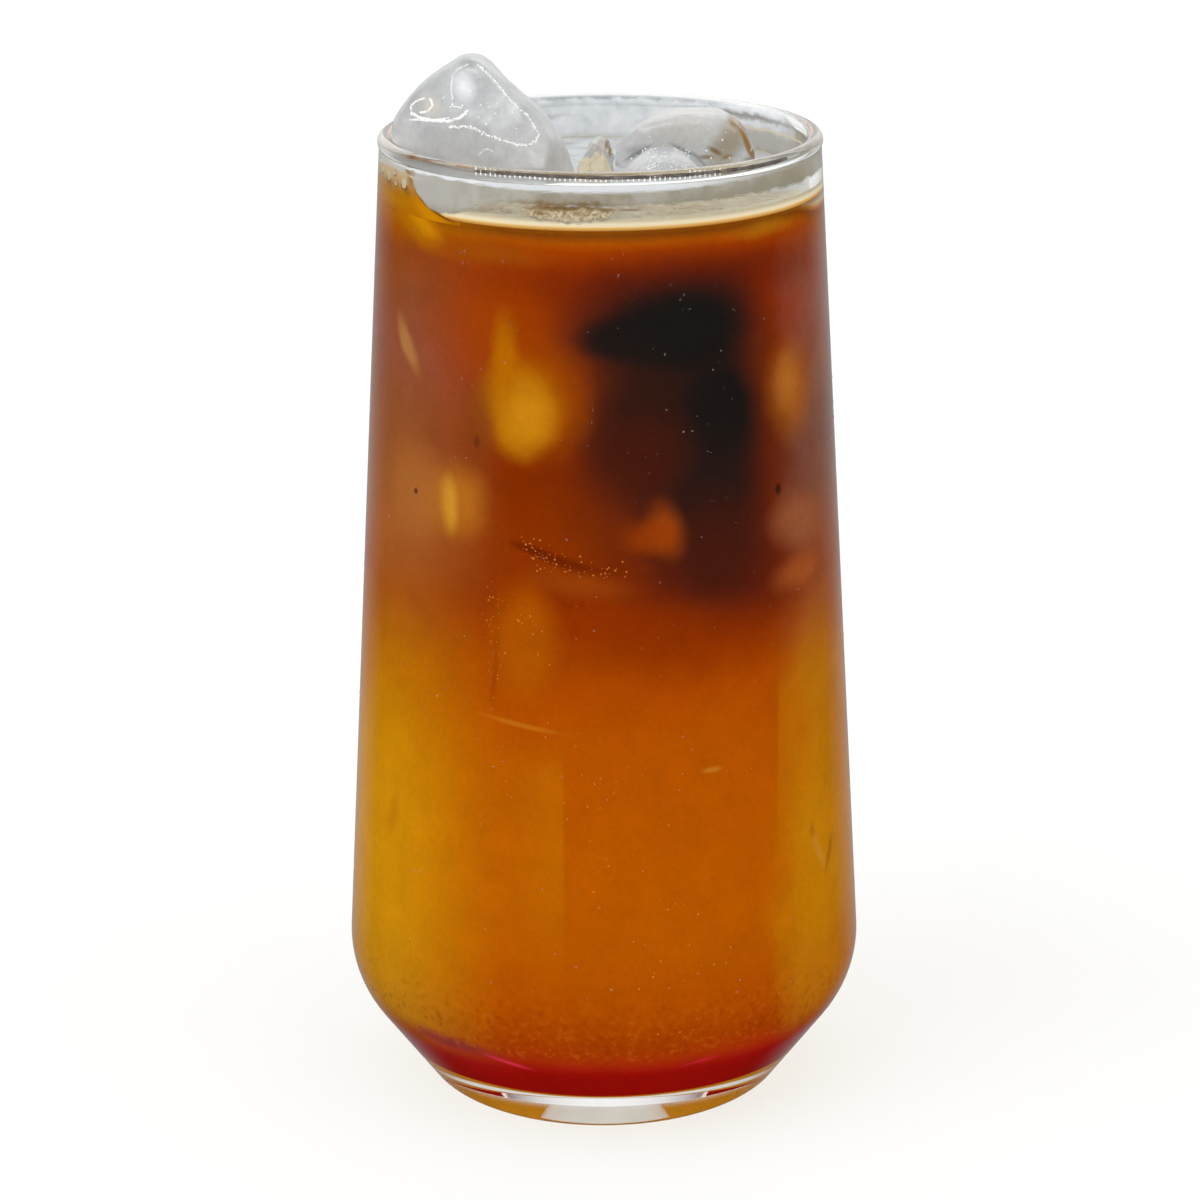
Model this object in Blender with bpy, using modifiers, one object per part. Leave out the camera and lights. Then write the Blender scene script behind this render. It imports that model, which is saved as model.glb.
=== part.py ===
"""
Iced coffee in a tall clear tumbler, as it stands on a table.

Red syrup lies on the tumbler's floor, then orange juice, then dark coffee with
a thin tan foam on it. Four melting pieces of ice stand in the top of the drink.
Metres, +Z up. The origin is the middle of the foot, on the table.
"""
import math

import bmesh
import bpy
from mathutils import Vector

MM = 0.001

# Tumbler: outside, from the foot up
GLASS_HEIGHT = 146.8 * MM
FOOT_RADIUS = 26.6 * MM
HEEL_ROUND = 3.4 * MM
BELLY_RADIUS = 39.5 * MM
BELLY_HEIGHT = 17.5 * MM
BELLY_ROUND = 16.4 * MM
RIM_RADIUS = 32.2 * MM

# Tumbler: inside
WALL_AT_RIM = 1.9 * MM
WALL_AT_BELLY = 2.25 * MM
BELLY_LIFT = 1.3 * MM
INNER_BELLY_ROUND = 16.0 * MM
FLOOR_HEIGHT = 7.9 * MM
FLOOR_RADIUS = 27.3 * MM
FLOOR_ROUND = 12.0 * MM

# Tumbler: the rounded bead of the rim and the hollow under the foot
BEAD_RADIUS = 1.15 * MM
FOOT_HOLLOW_RADIUS = 19.0 * MM
FOOT_HOLLOW_SLOPE = 4.1 * MM
FOOT_HOLLOW_DEPTH = 5.6 * MM
FOOT_HOLLOW_ROUND = 1.0 * MM

# Round pieces share one set of facets, so the drink follows the wall
SEGMENTS = 64
ARC_STEP = math.radians(13)
BEAD_STEPS = 8
SHARP_ANGLE = math.radians(35)

# Drink
GAP = 0.3 * MM
SYRUP_TOP = 13.0 * MM
JUICE_TOP = 83.0 * MM
COFFEE_TOP = 138.4 * MM
FOAM_THICKNESS = 1.4 * MM
FOAM_LUMP_PLACE = (-0.8 * MM, -4.6 * MM)
FOAM_LUMP_RADIUS = 2.7 * MM
FOAM_LUMP_HEIGHT = 3.7 * MM

# Ice: every piece is a melted block. Its corners stand in the order left front,
# right front, right back, left back, first low and then high, in millimetres.
# A crest runs over the top from front to back: its place across the block, its
# width as a share of the block, and how far it stands above the high corners.
ICE = {
    "ice_large": {
        "low": ((-17, -24, 129), (-0.5, -23, 130), (-0.5, 9, 130), (-18, 10, 128)),
        "high": ((-33.1, -8.5, 148.6), (-4.2, -16, 148.4), (-4.6, 10, 144.5), (-32.8, 9.5, 146.2)),
        "crest": (0.51, 0.15, 12.0),
        "dimple": 1.0,
        "levels": 2,
    },
    "ice_right": {
        "low": ((2, 5, 129), (24, 4, 130), (22, 19.5, 131), (4, 20, 129)),
        "high": ((0.3, 4, 142.5), (24.5, 4, 143.0), (22.0, 18, 142.5), (3.5, 19.5, 142.0)),
        "crest": (0.52, 0.60, 5.6),
        "dimple": 0.4,
        "levels": 1,
    },
    "ice_front": {
        "low": ((1, -19, 130), (16.5, -19, 129), (16.5, -4, 130), (1.5, -3.5, 129)),
        "high": ((0.8, -19, 141), (16.8, -18.5, 141), (16.5, -4, 141), (1.5, -3.5, 141)),
        "crest": (0.50, 0.36, 4.9),
        "dimple": 0.2,
        "levels": 1,
    },
    "ice_chip": {
        "low": ((-2.6, -0.6, 136), (2.2, -0.6, 136), (2.0, 3.6, 136), (-2.4, 3.6, 136)),
        "high": ((-2.1, -0.4, 143.5), (1.9, -0.4, 143.7), (1.7, 3.4, 143.4), (-2.0, 3.4, 143.2)),
        "crest": (0.55, 0.40, 2.2),
        "dimple": 0.1,
        "levels": 1,
    },
}
ICE_CELLS = 3
ICE_CORNER_MELT = 0.16

COLOURS = {
    "glass": ((0.86, 0.90, 0.92, 1.0), 0.05),
    "syrup": ((0.32, 0.004, 0.012, 1.0), 0.25),
    "juice": ((0.50, 0.145, 0.008, 1.0), 0.30),
    "coffee": ((0.110, 0.027, 0.006, 1.0), 0.25),
    "foam": ((0.66, 0.46, 0.25, 1.0), 0.75),
    "ice": ((0.80, 0.83, 0.85, 1.0), 0.12),
}


def clear_scene():
    for obj in list(bpy.data.objects):
        bpy.data.objects.remove(obj, do_unlink=True)


def new_collection(name):
    collection = bpy.data.collections.new(name)
    bpy.context.scene.collection.children.link(collection)
    return collection


def finish(name):
    """The plain finish of one kind of piece: its colour and its gloss."""
    colour, roughness = COLOURS[name]
    material = bpy.data.materials.get(name) or bpy.data.materials.new(name)
    material.use_nodes = True
    shader = material.node_tree.nodes["Principled BSDF"]
    shader.inputs["Base Color"].default_value = colour
    shader.inputs["Roughness"].default_value = roughness
    shader.inputs["Metallic"].default_value = 0.0
    material.diffuse_color = colour
    return material


def rounded_path(corners):
    """Points (radius, height) along straight runs joined by tangent arcs."""
    points = []
    last = len(corners) - 1
    for index, (radius, height, rounding) in enumerate(corners):
        corner = Vector((radius, height))
        if rounding == 0 or index in (0, last):
            points.append(corner)
            continue
        back = (Vector(corners[index - 1][:2]) - corner).normalized()
        ahead = (Vector(corners[index + 1][:2]) - corner).normalized()
        half = back.angle(ahead) / 2
        centre = corner + (back + ahead).normalized() * (rounding / math.sin(half))
        start = corner + back * (rounding / math.tan(half)) - centre
        turn = math.pi - 2 * half
        side = 1 if back.x * ahead.y - back.y * ahead.x < 0 else -1
        steps = max(2, math.ceil(turn / ARC_STEP))
        for step in range(steps + 1):
            angle = side * turn * step / steps
            cosine, sine = math.cos(angle), math.sin(angle)
            spoke = Vector((start.x * cosine - start.y * sine, start.x * sine + start.y * cosine))
            points.append(centre + spoke)
    return points


def inner_path():
    """The inside of the tumbler, from the middle of its floor up to the bead."""
    neck_height = GLASS_HEIGHT - BEAD_RADIUS - bead_drop()
    neck_radius = RIM_RADIUS - WALL_AT_RIM
    return rounded_path((
        (0.0, FLOOR_HEIGHT, 0.0),
        (FLOOR_RADIUS, FLOOR_HEIGHT, FLOOR_ROUND),
        (BELLY_RADIUS - WALL_AT_BELLY, BELLY_HEIGHT + BELLY_LIFT, INNER_BELLY_ROUND),
        (neck_radius, neck_height, 0.0),
    ))


def bead_drop():
    """How far below the bead's centre the two faces of the wall meet it."""
    return math.sqrt(BEAD_RADIUS ** 2 - (WALL_AT_RIM / 2) ** 2)


def bead_path():
    """The bead's round section, from the inner face over the top to the outer."""
    dip = math.asin(bead_drop() / BEAD_RADIUS)
    sweep = math.pi + 2 * dip
    points = []
    for step in range(1, BEAD_STEPS):
        angle = math.pi + dip - sweep * step / BEAD_STEPS
        radius = RIM_RADIUS - WALL_AT_RIM / 2 + BEAD_RADIUS * math.cos(angle)
        height = GLASS_HEIGHT - BEAD_RADIUS + BEAD_RADIUS * math.sin(angle)
        points.append(Vector((radius, height)))
    return points


def outer_path():
    """The outside of the tumbler, from the bead down and in under the foot."""
    return rounded_path((
        (RIM_RADIUS, GLASS_HEIGHT - BEAD_RADIUS - bead_drop(), 0.0),
        (BELLY_RADIUS, BELLY_HEIGHT, BELLY_ROUND),
        (FOOT_RADIUS, 0.0, HEEL_ROUND),
        (FOOT_HOLLOW_RADIUS, 0.0, FOOT_HOLLOW_ROUND),
        (FOOT_HOLLOW_RADIUS - FOOT_HOLLOW_SLOPE, FOOT_HOLLOW_DEPTH, 0.0),
        (0.0, FOOT_HOLLOW_DEPTH, 0.0),
    ))


def turned(name, profile, collection, material):
    """A body turned about +Z from a profile that starts and ends on the axis."""
    mesh = bpy.data.meshes.new(name)
    points = [(point[0], 0.0, point[1]) for point in profile]
    edges = [(index, index + 1) for index in range(len(points) - 1)]
    mesh.from_pydata(points, edges, [])
    body = bpy.data.objects.new(name, mesh)
    collection.objects.link(body)
    mesh.materials.append(finish(material))
    screw = body.modifiers.new("turn", "SCREW")
    screw.axis = "Z"
    screw.steps = SEGMENTS
    screw.render_steps = SEGMENTS
    screw.use_merge_vertices = True
    screw.merge_threshold = 0.00001
    screw.use_smooth_shade = True
    return body


def inset(points, distance):
    """The same path, moved into the tumbler's hollow by a distance."""
    moved = []
    for index, point in enumerate(points):
        before = points[max(index - 1, 0)]
        after = points[min(index + 1, len(points) - 1)]
        along = (after - before).normalized()
        moved.append(point + Vector((-along.y, along.x)) * distance)
    moved[0].x = 0.0
    return moved


def layer_profile(low, high):
    """A layer of the drink between two levels, or from the floor where low is 0."""
    wall = inset(inner_path(), GAP)
    side = []
    for start, end in zip(wall, wall[1:]):
        for level in (low, high):
            if start.y < level <= end.y:
                share = (level - start.y) / (end.y - start.y)
                side.append(start.lerp(end, share))
        if low + GAP < end.y < high - GAP:
            side.append(end)
    side.sort(key=lambda point: (point.y, point.x))
    bottom = max(low, wall[0].y)
    return [Vector((0.0, high))] + side[::-1] + [Vector((0.0, bottom))]


def ice_piece(name, shape, collection):
    """One melted block: a coarse cage on eight corners, hollowed and smoothed."""
    low = [Vector(corner) * MM for corner in shape["low"]]
    high = [Vector(corner) * MM for corner in shape["high"]]
    crest_place, crest_width, crest_lift = shape["crest"]
    cage = bmesh.new()
    bmesh.ops.create_cube(cage, size=1.0)
    bmesh.ops.subdivide_edges(cage, edges=cage.edges, cuts=ICE_CELLS - 1, use_grid_fill=True)
    for vertex in cage.verts:
        side = vertex.co.copy()
        on_corner = abs(side.x) > 0.49 and abs(side.y) > 0.49
        melt = 1.0 - ICE_CORNER_MELT if on_corner else 1.0
        across, deep, up = 0.5 + side.x * melt, 0.5 + side.y * melt, 0.5 + side.z
        crest = 0.0
        if abs(side.x) < 0.49:
            pinched = crest_place + crest_width * (0.5 if side.x > 0 else -0.5)
            across += (pinched - across) * up
            crest = crest_lift * MM
        lower = low[0].lerp(low[1], across).lerp(low[3].lerp(low[2], across), deep)
        upper = high[0].lerp(high[1], across).lerp(high[3].lerp(high[2], across), deep)
        upper.z += crest
        place = lower.lerp(upper, up)
        outward = Vector([axis if abs(axis) > 0.49 else 0.0 for axis in side])
        if outward.length < 0.6:
            place -= outward.normalized() * shape["dimple"] * MM
        vertex.co = place
    mesh = bpy.data.meshes.new(name)
    cage.to_mesh(mesh)
    cage.free()
    mesh.materials.append(finish("ice"))
    mesh.shade_smooth()
    piece = bpy.data.objects.new(name, mesh)
    collection.objects.link(piece)
    soften = piece.modifiers.new("melt", "SUBSURF")
    soften.levels = shape["levels"]
    soften.render_levels = shape["levels"]
    return piece


def pocket_cutter(piece, collection):
    """The space that one piece of ice takes up in the drink, with its clearance."""
    cutter = piece.copy()
    cutter.data = piece.data.copy()
    cutter.name = piece.name + "_pocket"
    collection.objects.link(cutter)
    swell = cutter.modifiers.new("clearance", "DISPLACE")
    swell.mid_level = 0.0
    swell.strength = GAP
    cutter.hide_render = True
    cutter.display_type = "WIRE"
    return cutter


def cut(body, cutters):
    for cutter in cutters:
        pocket = body.modifiers.new(cutter.name, "BOOLEAN")
        pocket.operation = "DIFFERENCE"
        pocket.solver = "EXACT"
        pocket.object = cutter


def foam_lump(collection):
    """A low mound of stiff foam between the pieces of ice."""
    lump = bmesh.new()
    bmesh.ops.create_uvsphere(lump, u_segments=16, v_segments=10, radius=1.0)
    for vertex in lump.verts:
        vertex.co.x = vertex.co.x * FOAM_LUMP_RADIUS + FOAM_LUMP_PLACE[0]
        vertex.co.y = vertex.co.y * FOAM_LUMP_RADIUS + FOAM_LUMP_PLACE[1]
        vertex.co.z = vertex.co.z * FOAM_LUMP_HEIGHT + COFFEE_TOP + GAP + FOAM_THICKNESS
    bmesh.ops.bisect_plane(
        lump,
        geom=lump.verts[:] + lump.edges[:] + lump.faces[:],
        plane_co=(0.0, 0.0, COFFEE_TOP + GAP + FOAM_THICKNESS / 2),
        plane_no=(0.0, 0.0, -1.0),
        clear_outer=True,
    )
    rim = [edge for edge in lump.edges if edge.is_boundary]
    bmesh.ops.contextual_create(lump, geom=rim)
    mesh = bpy.data.meshes.new("foam_lump")
    lump.to_mesh(mesh)
    lump.free()
    mound = bpy.data.objects.new("foam_lump", mesh)
    collection.objects.link(mound)
    mound.hide_render = True
    mound.display_type = "WIRE"
    return mound


def settle(parts):
    """Apply each piece's modifiers and keep its square edges crisp."""
    graph = bpy.context.evaluated_depsgraph_get()
    finished = [(piece, bpy.data.meshes.new_from_object(piece.evaluated_get(graph)))
                for piece in parts.objects]
    for piece, mesh in finished:
        piece.modifiers.clear()
        piece.data = mesh
        mesh.name = piece.name
        mesh.shade_smooth()
        mesh.set_sharp_from_angle(angle=SHARP_ANGLE)


def build():
    clear_scene()
    parts = new_collection("iced_coffee")
    cutters = new_collection("cutters")

    turned("glass", inner_path() + bead_path() + outer_path(), parts, "glass")

    pieces = [ice_piece(name, shape, parts) for name, shape in ICE.items()]
    pockets = [pocket_cutter(piece, cutters) for piece in pieces]

    foam_bottom = COFFEE_TOP + GAP
    turned("syrup", layer_profile(0.0, SYRUP_TOP), parts, "syrup")
    turned("juice", layer_profile(SYRUP_TOP + GAP, JUICE_TOP), parts, "juice")
    coffee = turned("coffee", layer_profile(JUICE_TOP + GAP, COFFEE_TOP), parts, "coffee")
    foam = turned("foam", layer_profile(foam_bottom, foam_bottom + FOAM_THICKNESS), parts, "foam")

    mound = foam.modifiers.new("lump", "BOOLEAN")
    mound.operation = "UNION"
    mound.solver = "EXACT"
    mound.object = foam_lump(cutters)
    cut(coffee, pockets)
    cut(foam, pockets)
    settle(parts)


build()
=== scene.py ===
"""
Layered iced coffee in a tall tumbler: the finished look of every piece.

The tumbler stands with the middle of its foot on the origin, +Z up, in metres.
"""
import math
import random

import bmesh
import bpy
from functools import partial
from mathutils import Matrix, Vector, noise
from mathutils.bvhtree import BVHTree


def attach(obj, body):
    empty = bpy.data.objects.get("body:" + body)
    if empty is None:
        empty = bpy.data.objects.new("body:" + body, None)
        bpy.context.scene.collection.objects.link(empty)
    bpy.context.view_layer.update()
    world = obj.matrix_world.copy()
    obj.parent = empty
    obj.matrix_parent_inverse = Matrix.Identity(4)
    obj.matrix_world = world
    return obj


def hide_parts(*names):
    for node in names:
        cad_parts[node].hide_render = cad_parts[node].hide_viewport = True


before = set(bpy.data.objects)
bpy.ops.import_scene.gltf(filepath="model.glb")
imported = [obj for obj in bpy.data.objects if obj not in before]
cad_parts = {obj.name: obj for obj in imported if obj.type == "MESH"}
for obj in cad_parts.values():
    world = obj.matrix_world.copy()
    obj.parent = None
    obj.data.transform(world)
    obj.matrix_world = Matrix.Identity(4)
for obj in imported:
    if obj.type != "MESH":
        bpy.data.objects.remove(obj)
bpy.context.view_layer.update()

# Viewpoint
# A long lens a little above the rim, tipped down so that the foam shows inside
# the rim and the foot's front edge under the drink.
MM = 0.001
VIEW_DISTANCE = 539.0 * MM
VIEW_HEIGHT = 248.03 * MM
VIEW_TIP = math.radians(17.796)
VIEW_ROLL = -0.0048
LENS_LENGTH = 112.26
SENSOR_WIDTH = 36.0
VIEW_SHIFT = -0.00205

viewpoint = bpy.data.cameras.new("viewpoint")
viewpoint.lens = LENS_LENGTH
viewpoint.sensor_width = SENSOR_WIDTH
viewpoint.shift_x = VIEW_SHIFT
viewpoint.clip_start = 0.01
tripod = bpy.data.objects.new("viewpoint", viewpoint)
bpy.context.scene.collection.objects.link(tripod)
tripod.matrix_world = (
    Matrix.Translation((0.0, -VIEW_DISTANCE, VIEW_HEIGHT))
    @ Matrix.Rotation(math.pi / 2 - VIEW_TIP, 4, "X")
    @ Matrix.Rotation(VIEW_ROLL, 4, "Z")
)
bpy.context.scene.camera = tripod
bpy.context.scene.view_settings.view_transform = "Standard"

# Tumbler
# A tall tumbler of clear soda-lime glass, blown in a mould, with a heavy floor,
# a rounded belly and a fire-polished bead round its rim.
GLASS_HEIGHT = 146.8 * MM
FOOT_RADIUS = 26.6 * MM
HEEL_ROUND = 3.4 * MM
BELLY_RADIUS = 39.5 * MM
BELLY_HEIGHT = 17.5 * MM
BELLY_ROUND = 16.4 * MM
RIM_RADIUS = 32.2 * MM
WALL_AT_RIM = 1.9 * MM
WALL_AT_BELLY = 2.25 * MM
BELLY_LIFT = 1.3 * MM
INNER_BELLY_ROUND = 16.0 * MM
FLOOR_HEIGHT = 7.9 * MM
FLOOR_RADIUS = 27.3 * MM
FLOOR_ROUND = 12.0 * MM
BEAD_RADIUS = 1.15 * MM
BEAD_STEPS = 24
HOLLOW_RADIUS = 19.0 * MM
HOLLOW_SLOPE = 4.1 * MM
HOLLOW_DEPTH = 5.6 * MM
HOLLOW_ROUND = 1.0 * MM
HOLLOW_CORNER = 0.2 * MM
TURNS = 192
ARC_STEP = math.radians(4)
RING_SPACING = 4.0 * MM
RING_AT_CORNER = 0.15 * MM


def ringed(path):
    """The path with more points on its long runs, so that they shade as flat as they are."""
    points = [path[0]]
    for low, high in zip(path, path[1:]):
        run = high - low
        if run.length > 2 * RING_SPACING / 3:
            steps = math.ceil(run.length / RING_SPACING)
            near = RING_AT_CORNER / run.length
            places = [near] + [step / steps for step in range(1, steps)] + [1 - near]
            points += [low + run * place for place in places]
        points.append(high)
    return points


def rounded_path(corners):
    """Points (radius, height) along straight runs joined by tangent arcs."""
    points = []
    last = len(corners) - 1
    for index, (radius, height, rounding) in enumerate(corners):
        corner = Vector((radius, height))
        if rounding == 0 or index in (0, last):
            points.append(corner)
            continue
        back = (Vector(corners[index - 1][:2]) - corner).normalized()
        ahead = (Vector(corners[index + 1][:2]) - corner).normalized()
        half = back.angle(ahead) / 2
        centre = corner + (back + ahead).normalized() * (rounding / math.sin(half))
        start = corner + back * (rounding / math.tan(half)) - centre
        turn = math.pi - 2 * half
        side = 1 if back.x * ahead.y - back.y * ahead.x < 0 else -1
        steps = max(2, math.ceil(turn / ARC_STEP))
        for step in range(steps + 1):
            angle = side * turn * step / steps
            cosine, sine = math.cos(angle), math.sin(angle)
            spoke = Vector((start.x * cosine - start.y * sine, start.x * sine + start.y * cosine))
            points.append(centre + spoke)
    return ringed(points)


bead_drop = math.sqrt(BEAD_RADIUS ** 2 - (WALL_AT_RIM / 2) ** 2)
neck_height = GLASS_HEIGHT - BEAD_RADIUS - bead_drop
inner_wall = rounded_path((
    (0.0, FLOOR_HEIGHT, 0.0),
    (FLOOR_RADIUS, FLOOR_HEIGHT, FLOOR_ROUND),
    (BELLY_RADIUS - WALL_AT_BELLY, BELLY_HEIGHT + BELLY_LIFT, INNER_BELLY_ROUND),
    (RIM_RADIUS - WALL_AT_RIM, neck_height, 0.0),
))
outer_wall = rounded_path((
    (RIM_RADIUS, neck_height, 0.0),
    (BELLY_RADIUS, BELLY_HEIGHT, BELLY_ROUND),
    (FOOT_RADIUS, 0.0, HEEL_ROUND),
    (HOLLOW_RADIUS, 0.0, HOLLOW_ROUND),
    (HOLLOW_RADIUS - HOLLOW_SLOPE, HOLLOW_DEPTH, HOLLOW_CORNER),
    (0.0, HOLLOW_DEPTH, 0.0),
))
bead_dip = math.asin(bead_drop / BEAD_RADIUS)
rim_bead = []
for step in range(1, BEAD_STEPS):
    angle = math.pi + bead_dip - (math.pi + 2 * bead_dip) * step / BEAD_STEPS
    rim_bead.append(Vector((
        RIM_RADIUS - WALL_AT_RIM / 2 + BEAD_RADIUS * math.cos(angle),
        GLASS_HEIGHT - BEAD_RADIUS + BEAD_RADIUS * math.sin(angle),
    )))


def finished(name, shape, material, smooth=True):
    """A piece in the scene from a bmesh, which is freed."""
    mesh = bpy.data.meshes.new(name)
    shape.to_mesh(mesh)
    shape.free()
    mesh.materials.append(material)
    for face in mesh.polygons:
        face.use_smooth = smooth
    piece = bpy.data.objects.new(name, mesh)
    bpy.context.scene.collection.objects.link(piece)
    return piece


def turned(profile):
    """A closed body turned about +Z from a profile that starts and ends on the axis."""
    body = bmesh.new()
    points = [body.verts.new((point.x, 0.0, point.y)) for point in profile]
    edges = [body.edges.new(pair) for pair in zip(points, points[1:])]
    bmesh.ops.spin(
        body, geom=points + edges, cent=(0, 0, 0), axis=(0, 0, 1),
        angle=2 * math.pi, steps=TURNS, use_merge=True,
    )
    bmesh.ops.remove_doubles(body, verts=body.verts, dist=0.001 * MM)
    bmesh.ops.recalc_face_normals(body, faces=body.faces)
    return body


def linear(code):
    """An sRGB hex colour as the linear colour that a node takes."""
    channels = [int(code[place:place + 2], 16) / 255 for place in (1, 3, 5)]
    straight = [c / 12.92 if c <= 0.04045 else ((c + 0.055) / 1.055) ** 2.4 for c in channels]
    return (*straight, 1.0)


def node(tree, kind, inputs=(), operation=None, stops=(), **settings):
    """Adds a node. Its inputs are values, sockets or whole nodes, in order or by name."""
    made = tree.nodes.new("ShaderNode" + kind)
    if operation:
        made.operation = operation
    for name, value in settings.items():
        setattr(made, name, value)
    for socket, value in inputs.items() if isinstance(inputs, dict) else enumerate(inputs):
        if isinstance(value, bpy.types.Node):
            value = next(output for output in value.outputs if output.enabled)
        if isinstance(value, bpy.types.NodeSocket):
            tree.links.new(value, made.inputs[socket])
        else:
            made.inputs[socket].default_value = value
    for index, (place, code) in enumerate(stops):
        ramp = made.color_ramp.elements
        stop = ramp[index] if index < 2 else ramp.new(place)
        stop.position = place
        stop.color = linear(code)
    return made


def blank(name):
    """A material, and the function that adds nodes to it."""
    material = bpy.data.materials.new(name)
    material.use_nodes = True
    material.node_tree.nodes.clear()
    return material, partial(node, material.node_tree)


def lamps_pass(add, shader, tint="#ffffff"):
    """Shows the shader, and lets light pass the piece, tinted, instead of ending there."""
    path = add("LightPath")
    clear = add("BsdfTransparent", {"Color": linear(tint)})
    soft = add("MixShader", (path.outputs["Is Diffuse Ray"], shader, clear))
    both = add("MixShader", (path.outputs["Is Shadow Ray"], soft, clear))
    add("OutputMaterial", (both,))


# Soda-lime glass, fire-polished: colourless, fully smooth.
glass, add = blank("soda_lime_glass")
shader = add("BsdfPrincipled", {
    "Base Color": linear("#fafcfb"), "Roughness": 0.0, "IOR": 1.5, "Transmission Weight": 1.0})
lamps_pass(add, shader)

tumbler = finished("tumbler", turned(inner_wall + rim_bead + outer_wall), glass)
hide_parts("glass")
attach(tumbler, "root")

# Drink
# Red syrup on the floor, orange juice and dark coffee, poured one on the other so
# that they run into each other. It wets the wall, so it reaches just into it.
WALL_BITE = 0.03 * MM
COFFEE_TOP = 138.4 * MM
MENISCUS = 0.1 * MM
RAMP_TOP = 140.0
SWIRL = (4.0, 4.0, 4.0)
SWIRL_SIZE = 16.0
LAYER_SWIRL = 9.0
MOTTLES = ((5.0, 0.05), (0.77, 0.04))
GRAIN_SIZE = 1.1
CLOUD_DEPTH = 24.0
PANES = ((-5.4, -0.5, 26.0, 66.0, "#c27a04", 0.26), (24.6, 0.5, 38.0, 74.0, "#bf7405", 0.34))
LIGHT_THROUGH = "#f0ece4"

# A MapRange node takes a value, the range that it comes from and the one that it goes
# to. With this it eases in and out.
SMOOTH = {"interpolation_type": "SMOOTHSTEP"}

# Layers from the floor up: height in mm and colour, in the middle and at both sides.
# The sides are lighter and more golden: painted light that comes through the drink's thin
# edges. High up at the sides, the right most of all, they turn greyer and mauve: a painted
# sheen of light on the mist of the glass.
MIDDLE_LAYERS = (
    (0.0, "#900b03"), (12.4, "#960b04"), (13.4, "#9c0e06"), (14.4, "#a5200a"), (16.2, "#a53404"),
    (18.5, "#a13c00"), (22.8, "#ab4900"), (32.0, "#b15300"), (41.0, "#b45500"), (63.5, "#b04f00"),
    (72.5, "#a84500"), (77.0, "#9b3d00"), (81.5, "#903200"), (86.0, "#852b00"), (94.6, "#883000"),
    (103.0, "#7f2900"), (112.0, "#8a3100"), (120.0, "#8c3100"), (128.0, "#842700"), (133.0, "#922f00"),
    (135.6, "#9c3a00"), (136.6, "#a84c02"), (137.4, "#8c4606"), (137.9, "#7c3e08"), (138.25, "#7e3e08"),
    (138.4, "#965208"),
)
LEFT_LAYERS = (
    (0.0, "#900b03"), (11.4, "#960e0a"), (12.8, "#97211c"), (15.0, "#a2541a"), (17.4, "#b87e18"),
    (26.0, "#c0840c"), (33.0, "#c98908"), (51.0, "#cb8a08"), (60.0, "#c48205"), (64.6, "#be7a05"),
    (69.0, "#b87005"), (73.7, "#b06806"), (78.0, "#a95e0c"), (83.0, "#a15214"), (92.0, "#a05a28"),
    (101.0, "#965428"), (110.0, "#8e4f2c"), (119.0, "#8e4e36"), (128.2, "#8c4924"), (133.0, "#8f4418"),
    (135.4, "#9e5204"), (137.6, "#a86204"),
)
RIGHT_LAYERS = (
    (0.0, "#900b03"), (11.4, "#940c08"), (12.8, "#96201e"), (15.0, "#a24a16"), (17.4, "#b2660e"),
    (26.0, "#b86e08"), (34.0, "#be7804"), (44.0, "#c07a08"), (55.0, "#ba7206"), (64.0, "#b66e0a"),
    (69.0, "#b46c0c"), (73.0, "#ac6212"), (78.0, "#9e5420"), (84.0, "#924a26"), (92.0, "#8e5034"),
    (98.0, "#80503c"), (104.0, "#7c4e40"), (109.0, "#80523e"), (114.0, "#8a5842"), (120.0, "#8a5a4a"),
    (126.0, "#8e5e50"), (132.0, "#925c46"), (136.0, "#975010"), (137.3, "#8a4606"),
    (137.75, "#80430b"), (138.1, "#96550f"), (138.4, "#c08030"),
    (138.8, "#d4bf92"), (139.5, "#b3a588"),
)
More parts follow.
